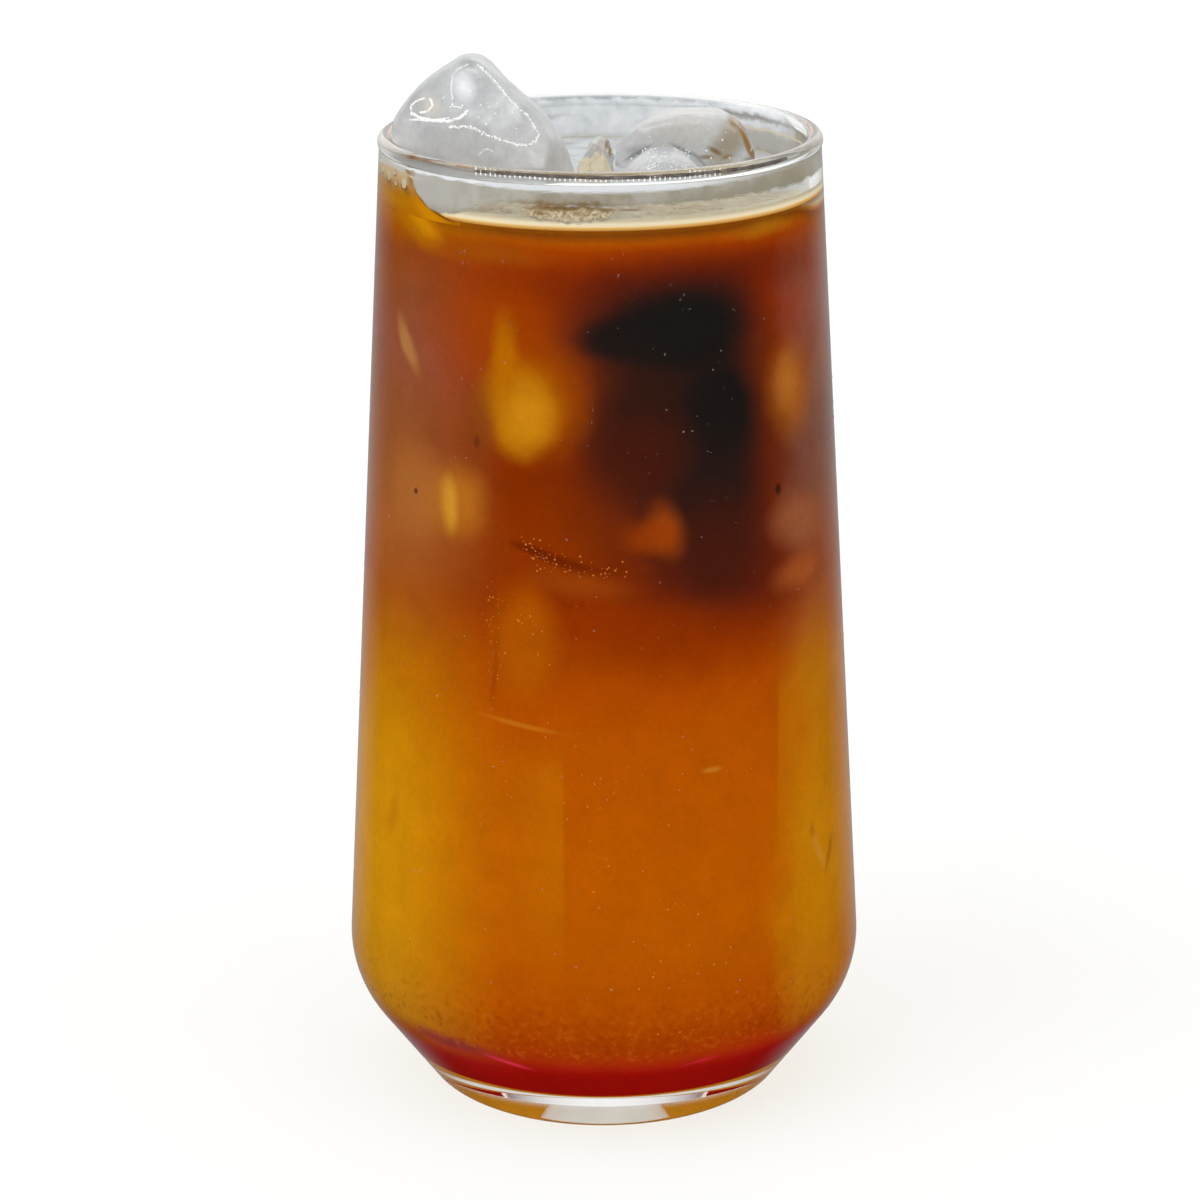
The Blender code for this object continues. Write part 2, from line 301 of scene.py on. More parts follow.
# What hangs in the drink and shows at the wall: clouds of black coffee; golden patches
# where sunk ice stands behind thin coffee, partly its pale tone and partly a painted glow
# of the light that comes through it; its dark edges. Azimuth and height of the middle,
# half width and half height in mm, tilt, softness of the edge, strength, colour.
# Azimuth 0 faces the viewer.
CLOUDS = (
    (-26, 124, 9, 7, 0, 0.8, 0.7, "#a03f01"),
    (24, 131.0, 17, 3.4, 0, 0.8, 0.9, "#5c1b0a"),
    (24, 107, 15, 20, -6, 0.6, 0.95, "#421a10"),
    (34, 88, 13, 7, 10, 0.7, 0.9, "#5a1c0b"),
    (20, 79.5, 15, 4.4, 4, 0.8, 0.6, "#852a00"),
    (17.5, 123.4, 13.0, 6.8, 4, 0.58, 1.0, "#191614"),
    (23.0, 125.6, 9.0, 4.6, -3, 0.6, 1.0, "#191614"),
    (4, 123.4, 4.8, 2.8, 0, 0.5, 0.9, "#1c1614"),
    (11, 112.0, 7.0, 7.0, 0, 0.75, 0.95, "#2a1711"),
    (31, 112, 6.2, 9.0, -8, 0.42, 1.0, "#1b1614"),
    (27, 101, 7.4, 7.0, 8, 0.6, 0.9, "#241714"),
    (29, 92, 7.5, 7.0, 0, 0.7, 0.9, "#41190f"),
    (9, 106.0, 6.5, 6.0, -20, 0.7, 0.85, "#45190e"),
    (15.5, 95.7, 2.5, 3.4, -15, 0.7, 0.85, "#98400a"),
    (11.0, 95.0, 3.5, 2.2, 0, 0.7, 0.7, "#963a04"),
    (-14, 114.5, 5.0, 6.6, 0, 0.7, 0.8, "#9c4802"),
    (-21, 113.4, 5.6, 6.2, 0, 0.45, 0.9, "#b06604"),
    (-19.5, 111.8, 3.4, 4.8, 10, 0.7, 0.95, "#c47e10"),
    (-25, 120.6, 1.7, 4.8, 0, 0.7, 0.85, "#b26602"),
    (-31.5, 110.2, 2.0, 4.6, 0, 0.7, 0.75, "#7c3a12"),
    (-38.5, 98.6, 4.6, 4.8, 0, 0.65, 0.95, "#ae661a"),
    (-40, 98.0, 1.4, 3.6, -6, 0.7, 0.95, "#cd9028"),
    (-47, 106, 4.0, 6.0, 0, 0.8, 0.4, "#8a4620"),
    (-52, 98.4, 5.4, 5.6, 0, 0.8, 0.7, "#aa672c"),
    (-57.5, 119.4, 1.3, 3.9, -38, 0.6, 0.7, "#b57d42"),
    (55.5, 112.6, 4.0, 5.4, -6, 0.8, 0.9, "#a25a1a"),
    (54, 114.0, 2.2, 3.2, 0, 0.9, 0.8, "#ac6626"),
    (57, 93.0, 5.5, 3.6, 20, 0.7, 0.8, "#945434"),
    (56, 85.6, 4.6, 2.2, 0, 0.7, 0.75, "#a05022"),
    (-57, 137.8, 5.4, 2.0, 28, 0.8, 0.9, "#b26c04"),
    (-54, 138.1, 4.0, 1.1, 26, 0.8, 1.0, "#c68004"),
    (-30, 134.4, 7.0, 1.6, 0, 0.8, 0.8, "#9a4a08"),
    (47, 136.9, 4.4, 1.1, 0, 0.8, 0.6, "#a86a10"),
    (-16.5, 92.8, 3.2, 0.65, 14, 0.6, 0.95, "#681f02"),
    (-8.0, 91.0, 4.4, 0.8, 16, 0.6, 0.9, "#6a2002"),
    (2.0, 90.0, 4.4, 0.55, -4, 0.7, 0.85, "#742602"),
    (-6, 88.0, 6.0, 1.8, 10, 0.8, 0.6, "#96430c"),
    (-26, 80.0, 0.5, 8.6, 3, 0.6, 0.8, "#8a3401"),
    (-19, 79.0, 4.4, 7.6, 0, 0.6, 0.75, "#ae5602"),
    (-19.7, 66.9, 5.0, 0.35, 8, 0.7, 0.7, "#bd6c14"),
    (48.4, 98.8, 0.6, 0.8, 0, 0.5, 0.9, "#35170d"),
    (-32.2, 107.6, 0.45, 0.8, 0, 0.6, 0.7, "#5a2810"),
    (-52.2, 98.3, 0.4, 0.4, 0, 0.5, 0.85, "#4a2412"),
    (-58, 48.0, 1.2, 3.6, 20, 0.7, 0.55, "#b06e08"),
    (60, 41.0, 0.8, 3.0, -20, 0.7, 0.55, "#c8862c"),
    (64.5, 40.0, 0.5, 3.0, 34, 0.7, 0.7, "#94590e"),
    (58.0, 45.0, 0.7, 1.0, 0, 0.7, 0.6, "#9a5c10"),
    (26, 59.5, 1.4, 0.4, 0, 0.6, 0.6, "#c07a24"),
    # Painted glints: bright pink highlights along the syrup's top edge, in the next two rows.
    (-25, 14.3, 3.2, 0.28, 12, 0.7, 0.95, "#d8304a"),
    (24, 14.4, 2.4, 0.25, -8, 0.7, 0.8, "#c42030"),
    (-40, 15.2, 6.0, 1.0, 0, 0.8, 0.7, "#7c2434"),
    (143, 106, 17, 18, 8, 0.7, 0.92, "#471b10"),
    (139, 119, 13, 6.4, -6, 0.65, 1.0, "#1b1614"),
    (151, 107, 7.5, 10.0, 10, 0.7, 1.0, "#201614"),
    (-172, 94, 12, 8.0, 0, 0.8, 0.8, "#561d0c"),
    (-122, 112, 6.6, 6.8, 8, 0.75, 1.0, "#b06404"),
    (-120, 110, 3.2, 4.4, 0, 0.85, 0.9, "#c47e10"),
    (-104, 101, 3.8, 4.6, 0, 0.85, 0.8, "#a9621a"),
    (-148, 124, 7.0, 4.2, 12, 0.6, 0.9, "#5e1c0a"),
    (-160, 113, 4.0, 5.2, 0, 0.85, 0.8, "#a55a10"),
    (107, 99, 4.0, 5.2, -10, 0.85, 0.85, "#ab651a"),
    (176, 122, 1.6, 4.4, -30, 0.75, 0.7, "#b07a45"),
    (118, 126, 8.0, 2.6, 6, 0.8, 0.8, "#6a1c08"),
    (-132, 90.5, 6.0, 0.8, 10, 0.6, 0.9, "#6a2002"),
    (128, 84.0, 0.5, 8.0, 3, 0.6, 0.8, "#8a3401"),
)


def wall_radius(height, path=inner_wall):
    """How far the wall stands from the axis at a height above the floor's round."""
    for low, high in zip(path, path[1:]):
        if min(low.y, high.y) <= height <= max(low.y, high.y) and low.x > FLOOR_RADIUS * 0.9:
            share = (height - low.y) / (high.y - low.y)
            return low.x + (high.x - low.x) * share
    raise ValueError(height)


def inset(points, distance):
    """The same path, moved into the tumbler's hollow by a distance."""
    moved = []
    for index, point in enumerate(points):
        before = points[max(index - 1, 0)]
        after = points[min(index + 1, len(points) - 1)]
        along = (after - before).normalized()
        moved.append(point + Vector((-along.y, along.x)) * distance)
    moved[0].x = 0.0
    return moved


def on_wall(azimuth, height, radius):
    """A place in metres at an azimuth in degrees, clockwise from the viewer's side."""
    turn = math.radians(azimuth)
    return Vector((radius * math.sin(turn), -radius * math.cos(turn), height))


def measured(add):
    """Where a place on a piece lies, in millimetres."""
    metres = add("TexCoord").outputs["Object"]
    return add("Mapping", {"Vector": metres, "Scale": (1 / MM, 1 / MM, 1 / MM)})


def covered(add, paint, coat, *shares):
    """Lays a coat over the colours so far, as thick as its shares multiplied."""
    # Inputs 0, 6 and 7 of the node are how much, under and over.
    coat = linear(coat) if isinstance(coat, str) else coat
    cover = shares[0]
    for share in shares[1:]:
        cover = add("Math", (cover, share), "MULTIPLY")
    return add("Mix", {0: cover, 6: paint, 7: coat}, data_type="RGBA")


def reach(add, where, middle, size, turn):
    """How far off an egg-shaped patch a place lies: 1 on its edge, less inside."""
    local = add("Mapping", {
        "Vector": where, "Location": middle, "Rotation": turn, "Scale": size}, vector_type="TEXTURE")
    return add("VectorMath", (local,), "LENGTH")


def cloud(add, paint, where, middle, size, turn, softness, strength, colour):
    """Paints one soft egg-shaped patch over the colours so far."""
    far = reach(add, where, middle, size, turn)
    cover = add("MapRange", (far, 1.0 + softness, 1.0 - softness, 0.0, strength), **SMOOTH)
    return covered(add, paint, colour, cover)


def clouds(add, paint, where, rows, depth, fine=None):
    """Paints patches at the wall, from rows like those of CLOUDS; thin ones may lie on fine."""
    for azimuth, tall, half_width, half_height, tilt, softness, strength, colour in rows:
        paint = cloud(
            add, paint, fine if fine and half_height < 1.0 else where,
            on_wall(azimuth, tall, wall_radius(min(tall * MM, neck_height)) / MM),
            (half_width, depth, half_height), (0.0, math.radians(tilt), math.radians(azimuth)),
            softness, strength, colour)
    return paint


def mottled(add, paint, where, patches, **texture):
    """The colours made uneven: the size of the patches in mm, and by what share."""
    for size, share in patches:
        patch = add("TexNoise", {"Vector": where, "Scale": 1 / size, **texture})
        tone = add("MapRange", (patch, 0.3, 0.7, 1 - share, 1 + share), clamp=False)
        paint = add("VectorMath", {0: paint, "Scale": tone}, "SCALE")
    return paint


def flecked(name, size, detail, stops, finish):
    """A plain material whose colour runs along a ramp, in flecks of a size in mm."""
    material, add = blank(name)
    fleck = add("TexNoise", {"Vector": measured(add), "Scale": 1 / size, "Detail": detail})
    paint = add("ValToRGB", (fleck,), stops=stops)
    shader = add("BsdfPrincipled", {"Base Color": paint, **finish})
    add("OutputMaterial", (shader,))
    return material


# Still liquids behind glass: no gloss of their own, colour from deep within.
drink, add = blank("layered_drink")
place = measured(add)
swirl = add("TexNoise", {"Vector": place, "Scale": 1 / SWIRL_SIZE, "Detail": 4.0, "Roughness": 0.55})
drift = add("VectorMath", (swirl.outputs["Color"], (0.5, 0.5, 0.5)), "SUBTRACT")
swirled = add("VectorMath", (drift, SWIRL, place), "MULTIPLY_ADD")

# The layers: their edges wave more the higher they lie.
x, y, z = add("SeparateXYZ", (place,)).outputs
wave = add("SeparateXYZ", (drift,))
calm = add("MapRange", (z, 14.0, 60.0, 0.6, LAYER_SWIRL))
still = add("MapRange", (z, 120.0, 137.0, 1.0, 0.1))
lift = add("Math", (calm, still), "MULTIPLY")
height = add("Math", (wave.outputs[2], lift, z), "MULTIPLY_ADD")
# On the right the foam hangs lower on the wall.
hangs = add("MapRange", (x, 27.0, 29.9, 0.0, 1.35))
top_only = add("MapRange", (z, 130.0, 136.0))
height = add("Math", (hangs, top_only, height), "MULTIPLY_ADD")
share = add("Math", (height, RAMP_TOP), "DIVIDE")
layers = [
    add("ValToRGB", (share,), stops=[(tall / RAMP_TOP, code) for tall, code in stack])
    for stack in (MIDDLE_LAYERS, LEFT_LAYERS, RIGHT_LAYERS)
]
flat = add("CombineXYZ", (x, y))
spoke = add("VectorMath", (flat,), "NORMALIZE")
aside = add("SeparateXYZ", (spoke,))
to_left = add("MapRange", (aside, -0.33, -0.97), **SMOOTH)
rightness = add("Math", (wave.outputs[0], 9.0, x), "MULTIPLY_ADD")
to_right = add("MapRange", (rightness, 23.0, 31.0), **SMOOTH)
# The sides' painted light, through the thin edges, laid over the middle.
paint = covered(add, layers[0], layers[1], to_left)
paint = covered(add, paint, layers[2], to_right)
# Two panes of light through the juice, each with one straight edge.
for edge, inward, low, high, colour, strength in PANES:
    beside = add("MapRange", (x, edge, edge + inward), **SMOOTH)
    faded = add("MapRange", (x, edge + 26 * inward, edge + 5 * inward))
    from_low = add("MapRange", (z, low, (low + high) / 2), **SMOOTH)
    to_high = add("MapRange", (z, high, high - 8.0, 0.0, strength), **SMOOTH)
    paint = covered(add, paint, colour, beside, faded, from_low, to_high)
paint = clouds(add, paint, swirled, CLOUDS, CLOUD_DEPTH, fine=place)

# Fine pulp that has sunk on to the syrup, redder and lighter by turns.
grain = add("TexNoise", {"Vector": place, "Scale": 1 / GRAIN_SIZE, "Detail": 2.0, "Roughness": 0.6})
settled_low = add("MapRange", (z, 30.0, 18.0), **SMOOTH)
above_syrup = add("MapRange", (z, 14.6, 16.6), **SMOOTH)
for low, high, colour, strength in ((0.54, 0.70, "#8a2c02", 0.42), (0.46, 0.30, "#bd6a1c", 0.36)):
    found = add("MapRange", (grain, low, high, 0.0, strength))
    paint = covered(add, paint, colour, found, settled_low, above_syrup)

# Seen from below, painted light: an amber ring for the juice's light that the thin syrup
# lets through, and a near-white middle for the light that the thick floor gathers.
across = add("VectorMath", (flat,), "LENGTH")
washed = add("MapRange", (across, 13.4, 17.4), **SMOOTH)
ring = covered(add, linear("#fafcff"), "#c9841c", washed)
beneath = add("MapRange", (across, 25.0, 23.4), **SMOOTH)
floorward = add("Math", (z, 11.0), "LESS_THAN")
paint = covered(add, paint, ring, beneath, floorward)

# Uneven by a few percent throughout, as unstirred drinks are.
paint = mottled(add, paint, place, MOTTLES, Detail=2.0)
shader = add("BsdfPrincipled", {"Base Color": paint, "Roughness": 0.6, "Specular IOR Level": 0.0})
lamps_pass(add, shader, LIGHT_THROUGH)

wetted = inset(inner_wall, -WALL_BITE)
side = [point for point in wetted[:-1] if point.y < COFFEE_TOP]
low, high = side[-1], wetted[-1]
side.append(low.lerp(high, (COFFEE_TOP + MENISCUS - low.y) / (high.y - low.y)))
profile = side + [Vector((side[-1].x - MENISCUS, COFFEE_TOP)), Vector((0.0, COFFEE_TOP))]
drink_body = turned(profile)

# Ice
# Four pieces of frozen water, melted to rounded wedges with shallow scallops, afloat
# and held against each other and the wall.
ICE = {
    "ice_large": {
        "low": ((-17, -24, 129), (-0.5, -23, 130), (-0.5, 9, 130), (-18, 10, 128)),
        "high": ((-33.1, -8.5, 148.6), (-4.2, -16, 148.4), (-4.6, 10, 144.5), (-32.8, 9.5, 146.2)),
        "crest": (0.51, 0.15, 12.0),
        "dimple": 1.0,
        "scallop": (7.0, 1.0),
        "levels": 5,
    },
    "ice_right": {
        "low": ((2, 5, 129), (24, 4, 130), (22, 19.5, 131), (4, 20, 129)),
        "high": ((0.3, 4, 142.5), (24.5, 4, 143.0), (22.0, 18, 142.5), (3.5, 19.5, 142.0)),
        "crest": (0.52, 0.60, 5.6),
        "dimple": 0.4,
        "scallop": (6.0, 0.6),
        "levels": 5,
    },
    "ice_front": {
        "low": ((1, -19, 130), (16.5, -19, 129), (16.5, -4, 130), (1.5, -3.5, 129)),
        "high": ((0.8, -19, 141), (16.8, -18.5, 141), (16.5, -4, 141), (1.5, -3.5, 141)),
        "crest": (0.50, 0.36, 4.9),
        "dimple": 0.2,
        "scallop": (4.0, 0.4),
        "levels": 5,
    },
    "ice_chip": {
        "low": ((-2.6, -0.6, 136), (2.2, -0.6, 136), (2.0, 3.6, 136), (-2.4, 3.6, 136)),
        "high": ((-2.1, -0.4, 143.5), (1.9, -0.4, 143.7), (1.7, 3.4, 143.4), (-2.0, 3.4, 143.2)),
        "crest": (0.55, 0.40, 2.2),
        "dimple": 0.1,
        "scallop": (1.5, 0.8),
        "levels": 4,
    },
}
ICE_CELLS = 3
ICE_CORNER_MELT = 0.16
ICE_WAVE = (7.0 * MM, 0.28 * MM)
ICE_RIPPLE = (1.3 * MM, 0.07 * MM)
POCKET_SHRINK = 0.985
CLOUD_IN_ICE = 6.0
MILK_SIZE = 5.0
STAIN_SIZE = 2.5
FROST = ((0.9, 0.05), (0.35, 0.04))

# Where the photo, 1200 pixels square, shows a tone on the ice: pixel across and down,
# half width and half height in mm, tilt, softness of the edge, strength, colour. Some
# are painted light, such as the white glow in the dimple of the large piece.
PHOTO_SIZE = 1200.0
ICE_TONES = (
    (440, 84, 4.0, 3.4, 0, 0.8, 0.6, "#b9bbbb"),
    (463, 92, 2.2, 3.0, -10, 0.9, 0.7, "#d0d4d6"),
    (464, 87, 1.1, 1.5, -20, 0.9, 0.9, "#f4f7fa"),
    (468, 64, 0.9, 0.5, 0, 0.8, 0.6, "#9a9b99"),
    (516, 122, 3.2, 4.2, 38, 0.6, 0.8, "#dcdedf"),
    (500, 100, 1.6, 5.0, 38, 0.8, 0.6, "#c9cbcc"),
    (530, 108, 1.4, 6.0, 40, 0.7, 0.7, "#b5b7b7"),
    (430, 106, 1.6, 1.3, 0, 0.7, 0.8, "#d2cdbf"),
    (415, 107, 1.4, 1.6, 0, 0.7, 0.6, "#a9aaa9"),
    (452, 145, 9.0, 3.0, 0, 0.8, 0.7, "#bdbdbd"),
    (402, 140, 2.0, 2.4, 0, 0.8, 0.7, "#c8c7c5"),
    (552, 162, 2.0, 3.4, 30, 0.8, 0.6, "#b3b1aa"),
    (541, 150, 1.3, 2.6, 30, 0.8, 0.8, "#d4d5d5"),
    (490, 172, 10.0, 1.2, 0, 0.8, 0.5, "#c6c5c1"),
    (692, 113, 4.6, 1.3, 0, 0.8, 0.7, "#d6d6d4"),
    (684, 131, 6.0, 3.0, 0, 0.8, 0.7, "#cecbc6"),
    (729, 142, 1.8, 4.2, 30, 0.7, 0.9, "#a2957f"),
    (640, 151, 2.0, 0.7, 0, 0.8, 0.8, "#a5a6a6"),
    (750, 161, 1.0, 0.7, 0, 0.8, 0.8, "#8a8272"),
    (742, 130, 0.36, 1.7, -22, 0.7, 1.0, "#9c7638"),
    (747, 143, 0.42, 1.8, -18, 0.7, 1.0, "#986f30"),
    (752, 153, 0.40, 1.3, -30, 0.7, 1.0, "#93692d"),
    (733, 121, 0.5, 0.9, -40, 0.7, 0.9, "#9a7c50"),
    (715, 151, 1.0, 0.35, 30, 0.7, 0.9, "#84602f"),
    (706, 157, 1.1, 0.3, 0, 0.7, 0.8, "#8c6c40"),
    (727, 157, 0.8, 0.3, -20, 0.7, 0.8, "#97763f"),
    (659, 148, 3.4, 1.0, 0, 0.8, 0.6, "#a9abac"),
    (662, 160, 4.0, 1.6, 0, 0.7, 0.7, "#c0c4c6"),
    (638, 153, 2.0, 0.28, -32, 0.7, 0.9, "#85888b"),
    (660, 146.5, 2.6, 0.24, 0, 0.7, 0.9, "#85888b"),
    (684, 150, 2.0, 0.26, 26, 0.7, 0.9, "#8b8d8e"),
    (700, 160, 1.6, 0.26, 48, 0.7, 0.8, "#929494"),
    (598, 147, 0.9, 1.4, 0, 0.7, 0.9, "#cfccc6"),
    (607, 143, 0.26, 1.0, 14, 0.7, 0.9, "#94754a"),
    (610, 151, 0.30, 0.9, -10, 0.7, 0.9, "#94754a"),
    (595, 137, 0.9, 0.22, -20, 0.6, 0.8, "#8c7055"),
)
# Beads of melt water hang on the sharp ridges between the scallops, painted white as
# highlights: pixels of each row in the photo, the beads' radius in mm, how far they stray
# from the row in pixels, and the share of them that is there.
MELT_ROWS = (
    (((478, 65), (487, 73), (496, 83), (506, 95), (517, 107), (527, 115), (534, 126), (539, 134),
      (536, 142), (526, 146), (514, 144), (501, 140), (486, 135), (471, 127), (448, 127)),
     0.13, 0.6, 0.7),
    (((469, 64), (457, 69), (452, 77), (451, 90), (453, 101)), 0.08, 0.35, 0.85),
    (((453, 107), (463, 107)), 0.10, 0.8, 0.9),
    (((467, 111), (461, 118), (448, 121.5), (433, 120.5), (420, 118), (411, 113)), 0.20, 0.35, 1.0),
    (((448, 118), (433, 121), (420, 120), (409, 120)), 0.14, 0.3, 1.0),
    (((430, 99), (433, 105), (428, 111), (421, 113)), 0.15, 0.3, 1.0),
    (((411, 110), (411, 106), (416, 101), (425, 98)), 0.13, 0.35, 1.0),
    (((479, 155), (482, 151), (488, 149), (494, 152)), 0.07, 0.4, 0.8),
    (((656, 108), (668, 105), (682, 103), (700, 104), (715, 108), (726, 114)), 0.05, 0.5, 0.8),
    (((750, 152), (752, 147), (758, 154), (764, 158)), 0.06, 0.3, 1.0),
)
MELT_STEP = 0.45
MELT_SIZES = (0.5, 1.4)
# Single sparkles, small beads painted white as glints: left, right, top and bottom pixel of
# a field, and how many.
SPARKLES = (
    (642, 690, 148, 170, 270), (600, 735, 108, 160, 60), (478, 535, 100, 142, 60),
    (440, 475, 66, 110, 20),
)
SPARKLE_RADIUS = 0.075
MELT_FLATNESS = 0.55
BEAD_SEGMENTS = (8, 5)


def melted_block(shape):
    """A coarse cage on eight corners, pinched to its crest and hollowed on its faces."""
    low = [Vector(corner) * MM for corner in shape["low"]]
    high = [Vector(corner) * MM for corner in shape["high"]]
    crest_place, crest_width, crest_lift = shape["crest"]
    cage = bmesh.new()
    bmesh.ops.create_cube(cage, size=1.0)
    bmesh.ops.subdivide_edges(cage, edges=cage.edges, cuts=ICE_CELLS - 1, use_grid_fill=True)
    for vertex in cage.verts:
        side = vertex.co.copy()
        on_corner = abs(side.x) > 0.49 and abs(side.y) > 0.49
        melt = 1.0 - ICE_CORNER_MELT if on_corner else 1.0
        across, deep, up = 0.5 + side.x * melt, 0.5 + side.y * melt, 0.5 + side.z
        crest = 0.0
        if abs(side.x) < 0.49:
            pinched = crest_place + crest_width * (0.5 if side.x > 0 else -0.5)
            across += (pinched - across) * up
            crest = crest_lift * MM
        lower = low[0].lerp(low[1], across).lerp(low[3].lerp(low[2], across), deep)
        upper = high[0].lerp(high[1], across).lerp(high[3].lerp(high[2], across), deep)
        upper.z += crest
        spot = lower.lerp(upper, up)
        outward = Vector([axis if abs(axis) > 0.49 else 0.0 for axis in side])
        if outward.length < 0.6:
            spot -= outward.normalized() * shape["dimple"] * MM
        vertex.co = spot
    return cage


def applied(piece):
    """A bmesh of the piece as its modifiers leave it. The piece itself goes."""
    shown = piece.evaluated_get(bpy.context.evaluated_depsgraph_get())
    body = bmesh.new()
    body.from_mesh(shown.to_mesh())
    shown.to_mesh_clear()
    rough = piece.data
    bpy.data.objects.remove(piece)
    bpy.data.meshes.remove(rough)
    return body


def weathered(body, shape):
    """Melt marks: scallops with ridges between them, slow waves and a fine ripple."""
    size, depth = shape["scallop"]
    body.normal_update()
    for vertex in body.verts:
        nearest = noise.voronoi(vertex.co / (size * MM))[0][0]
        rise = (min(nearest, 0.8) ** 2 - 0.25) * depth * MM
        for wave, height in (ICE_WAVE, ICE_RIPPLE):
            rise += noise.noise(vertex.co / wave) * height
        vertex.co += vertex.normal * rise
    body.normal_update()


ice, add = blank("cloudy_ice")


def frozen(shape, levels):
    """A piece of ice: its cage, smoothed a number of times, and then weathered."""
    cage = finished("cage", melted_block(shape), ice)
    melt = cage.modifiers.new("melt", "SUBSURF")
    melt.levels = levels
    melt.render_levels = levels
    body = applied(cage)
    weathered(body, shape)
    return body


cutters = []
ice_trees = []
for name, shape in ICE.items():
    body = frozen(shape, shape["levels"])
    ice_trees.append(BVHTree.FromBMesh(body))
    # Its pocket in the drink is out of sight, so it is a little slimmer and coarser.
    middle = sum((vertex.co for vertex in body.verts), Vector()) / len(body.verts)
    slim = frozen(shape, shape["levels"] - 1)
    for vertex in slim.verts:
        vertex.co = middle + (vertex.co - middle) * POCKET_SHRINK
    cutters.append(finished(name + "_pocket", slim, ice))
    block = finished(name + "_melted", body, ice)
    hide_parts(name)
    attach(block, "root")


def sight(across, down, trees):
    """The first place and outward normal that the viewer sees at a pixel of the photo."""
    wide = SENSOR_WIDTH / LENS_LENGTH
    aside, up = across / PHOTO_SIZE - 0.5 + VIEW_SHIFT, 0.5 - down / PHOTO_SIZE
    aim = Vector((aside * wide, up * wide, -1.0))
    ray = (tripod.matrix_world.to_3x3() @ aim).normalized()
    start = tripod.matrix_world.translation
    found = [tree.ray_cast(start, ray) for tree in trees]
    found = [hit for hit in found if hit[0] is not None]
    if not found:
        return None
    place, normal = min(found, key=lambda hit: hit[3])[:2]
    return place, normal if normal.dot(ray) < 0 else -normal


# Frozen water, wet with melt: grey and half clear where it is sound, milky where air
# froze in, with a film of coffee on what stands near the drink.
place = measured(add)
milk = add("TexNoise", {
    "Vector": place, "Scale": 1 / MILK_SIZE, "Detail": 5.0, "Roughness": 0.62, "Distortion": 0.6})
paint = add("ValToRGB", (milk,), stops=(
    (0.30, "#aeb0b1"), (0.42, "#bbbdbe"), (0.55, "#c6c8c9"), (0.72, "#d9dbdc")))
# The tones, painted light among them, such as the glow in the large piece's dimple.
for across, down, half_width, half_height, tilt, softness, strength, colour in ICE_TONES:
    seen = sight(across, down, ice_trees)
    if seen:
        paint = cloud(
            add, paint, place, seen[0] / MM, (half_width, CLOUD_IN_ICE, half_height),
            (0.0, math.radians(tilt), 0.0), softness, strength, colour)
stain = add("TexNoise", {"Vector": place, "Scale": 1 / STAIN_SIZE, "Detail": 3.0})
tall = add("SeparateXYZ", (place,)).outputs[2]
near_drink = add("MapRange", (tall, 141.6, 139.8, 0.0, 0.8), **SMOOTH)
ragged = add("MapRange", (stain, 0.46, 0.60))
paint = covered(add, paint, "#b09a78", near_drink, ragged)
paint = mottled(add, paint, place, FROST, Detail=3.0, Roughness=0.6)
shader = add("BsdfPrincipled", {
    "Base Color": paint, "Roughness": 0.35, "IOR": 1.31, "Transmission Weight": 0.12,
    "Coat Weight": 0.3, "Coat Roughness": 0.08})
lamps_pass(add, shader)


def pocketed(body):
    """The body with room for the ice that stands in it."""
    piece = finished("pocketed", body, ice)
    for cutter in cutters:
        cut = piece.modifiers.new("pocket", "BOOLEAN")
        cut.object = cutter
        cut.operation = "DIFFERENCE"
        cut.solver = "EXACT"
    return applied(piece)


def strewn(places):
    """One mesh of small beads: each place is its middle, normal, radius and flatness."""
    body = bmesh.new()
    around, upward = BEAD_SEGMENTS
    bmesh.ops.create_uvsphere(body, u_segments=around, v_segments=upward, radius=1.0)
    bead = bpy.data.meshes.new("bead")
    body.to_mesh(bead)
    body.clear()
    for middle, normal, radius, flatness in places:
        turn = normal.to_track_quat("Z", "Y").to_matrix().to_4x4()
        size = Matrix.Diagonal((radius, radius, radius * flatness, 1.0))
        stamp = bead.copy()
        stamp.transform(Matrix.Translation(middle) @ turn @ size)
        body.from_mesh(stamp)
        bpy.data.meshes.remove(stamp)
    bpy.data.meshes.remove(bead)
    return body


def along(row, step):
    """Pixels at even steps along a row of them."""
    for (left, top), (right, bottom) in zip(row, row[1:]):
        count = max(1, round(math.hypot(right - left, bottom - top) / step))
        for number in range(count):
            share = number / count
            yield left + (right - left) * share, top + (bottom - top) * share


poured = finished("layered_drink", pocketed(drink_body), drink)
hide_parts("syrup", "juice", "coffee")
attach(poured, "root")

# Melt water painted white: painted highlights of the light that the beads catch.
glinting_melt_water = flecked(
    "glinting_melt_water", 0.833, 2.0, ((0.3, "#e4e2dc"), (0.5, "#ffffff")),
    {"Roughness": 0.1, "IOR": 1.33, "Coat Weight": 0.5})

draw = random.Random(7)
places = []
for row, radius, stray, share in MELT_ROWS:
    for across, down in along(row, MELT_STEP):
        seen = sight(across + draw.gauss(0.0, stray), down + draw.gauss(0.0, stray), ice_trees)
        if seen and draw.random() < share:
            size = radius * MM * draw.uniform(*MELT_SIZES)
            places.append((seen[0], seen[1], size, MELT_FLATNESS))
for left, right, top, bottom, count in SPARKLES:
    for number in range(count):
        seen = sight(draw.uniform(left, right), draw.uniform(top, bottom), ice_trees)
        if seen:
            size = SPARKLE_RADIUS * MM * (0.5 + 1.8 * draw.random() ** 3)
            places.append((seen[0], seen[1], size, MELT_FLATNESS))
melt_beads = finished("melt_beads", strewn(places), glinting_melt_water)
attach(melt_beads, "root")

